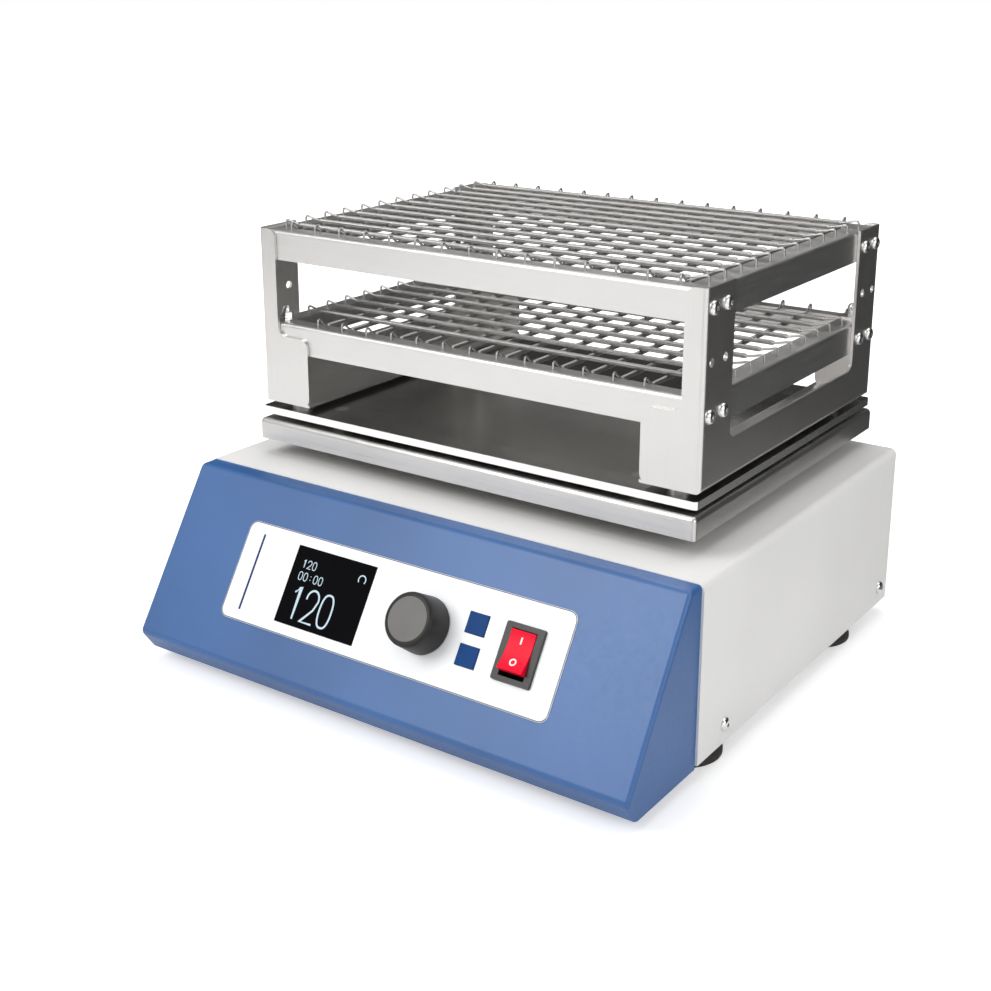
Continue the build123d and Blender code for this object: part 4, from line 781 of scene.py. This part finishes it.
def strip(name, start, end, edges, finish):
    """A curved strip between two bearings, in degrees from the front towards the right."""
    count = max(2, int((end - start) / STRIP_STEP))
    points = []
    for k in range(count + 1):
        bearing = radians(start + (end - start) * k / count)
        points += [(radius * sin(bearing), -radius * cos(bearing), height) for radius, height in edges]
    faces = [(2 * k, 2 * k + 2, 2 * k + 3, 2 * k + 1) for k in range(count)]
    return stage_mesh(name, points, faces, finish)


def only_glossy(card):
    """Lets a card show in reflections and nowhere else."""
    card.visible_camera = False
    card.visible_diffuse = False
    card.visible_shadow = False
    card.visible_transmission = False
    card.visible_volume_scatter = False


def glow(name, near, far, inner=0, outer=1):
    """Light given off that goes from one grey to another with the distance from the middle."""
    material = bpy.data.materials.new(name)
    material.use_nodes = True
    tree = material.node_tree
    tree.nodes.clear()
    place = node_in(tree, "ShaderNodeTexCoord")
    length = node_in(tree, "ShaderNodeVectorMath", operation="LENGTH")
    light = node_in(tree, "ShaderNodeEmission", name="light")
    out = node_in(tree, "ShaderNodeOutputMaterial", name="out")
    tree.links.new(place.outputs["Object"], length.inputs[0])
    strength = spread(tree, length.outputs["Value"], near, far, inner, outer)
    tree.links.new(strength, light.inputs["Strength"])
    tree.links.new(light.outputs["Emission"], out.inputs["Surface"])
    return material


def seen(tree, gloss):
    """One for camera and transmission rays, a share of it for glossy rays and nothing for the others."""
    path = node_in(tree, "ShaderNodeLightPath")
    outputs = path.outputs
    direct = calculate(tree, "MULTIPLY_ADD", outputs["Is Glossy Ray"], gloss, outputs["Is Camera Ray"])
    return calculate(tree, "MAXIMUM", direct, outputs["Is Transmission Ray"])


def white_floor():
    """A matt floor that takes the shadow, with a glow that the object only mirrors, faintly."""
    material = glow("floor", 0.42, 1.0, 0.3, 2.0)
    tree = material.node_tree
    light = tree.nodes["light"]
    strength = light.inputs["Strength"].links[0].from_socket
    tree.links.new(calculate(tree, "MULTIPLY", seen(tree, FLOOR_GLOSS), strength), light.inputs["Strength"])
    matt = node_in(tree, "ShaderNodeBsdfDiffuse")
    matt.inputs["Color"].default_value = (FLOOR_WHITE, FLOOR_WHITE, FLOOR_WHITE, 1)
    total = node_in(tree, "ShaderNodeAddShader")
    tree.links.new(matt.outputs["BSDF"], total.inputs[0])
    tree.links.new(light.outputs["Emission"], total.inputs[1])
    tree.links.new(total.outputs["Shader"], tree.nodes["out"].inputs["Surface"])
    return material


square("floor", FLOOR_HALF, 0, white_floor())
dark_card = glow("dark_card", 0.045, 0.045)
grey_card = glow("grey_card", 0.42, 0.42)
top_card = glow("top_card", 0.36, 0.36)
dark_carpet = glow("dark_carpet", 0.22, 0.05, 0.32, 0.70)
only_glossy(strip("card_back", 92, 262, ((1.5, 0), (1.5, 1.25)), dark_card))
only_glossy(strip("card_left", 262, 324, ((1.5, 0), (1.5, 1.5)), grey_card))
only_glossy(square("card_top", TOP_CARD_HALF, TOP_CARD_HEIGHT, top_card))
only_glossy(strip("card_front", -8, 14, ((1.6, 0), (1.6, 1.2)), dark_card))
only_glossy(strip("carpet_back", 92, 262, ((1.5, CARPET_HEIGHT), (0.3, CARPET_HEIGHT)), dark_carpet))


# Lamps and world
def lamp(name, place, target, size, power):
    """A soft square lamp."""
    data = bpy.data.lights.new(name, "AREA")
    data.size = size
    data.energy = power
    made = bpy.data.objects.new(name, data)
    made.location = place
    made.rotation_mode = "QUATERNION"
    made.rotation_quaternion = (Vector(target) - Vector(place)).to_track_quat("-Z", "Y")
    bpy.context.scene.collection.objects.link(made)


lamp("key", (-1.3, -1.9, 1.9), (0, 0, 0.12), 1.6, 44)
lamp("fill", (2.2, -0.7, 1.3), (0, 0, 0.12), 1.4, 16)
lamp("overhead", (0.0, 0.3, 2.4), (0, 0, 0.1), 2.0, 24)

WORLD_LIGHT = 0.45
world = bpy.data.worlds.new("studio")
bpy.context.scene.world = world
world.use_nodes = True
tree = world.node_tree
tree.nodes.clear()
sky = node_in(tree, "ShaderNodeBackground")
sky.inputs["Color"].default_value = (1, 1, 1, 1)
out = node_in(tree, "ShaderNodeOutputWorld")
tree.links.new(spread(tree, seen(tree, 1.0), WORLD_LIGHT, 1.0, 0, 1), sky.inputs["Strength"])
tree.links.new(sky.outputs["Background"], out.inputs["Surface"])
bpy.context.scene.view_settings.view_transform = "Standard"
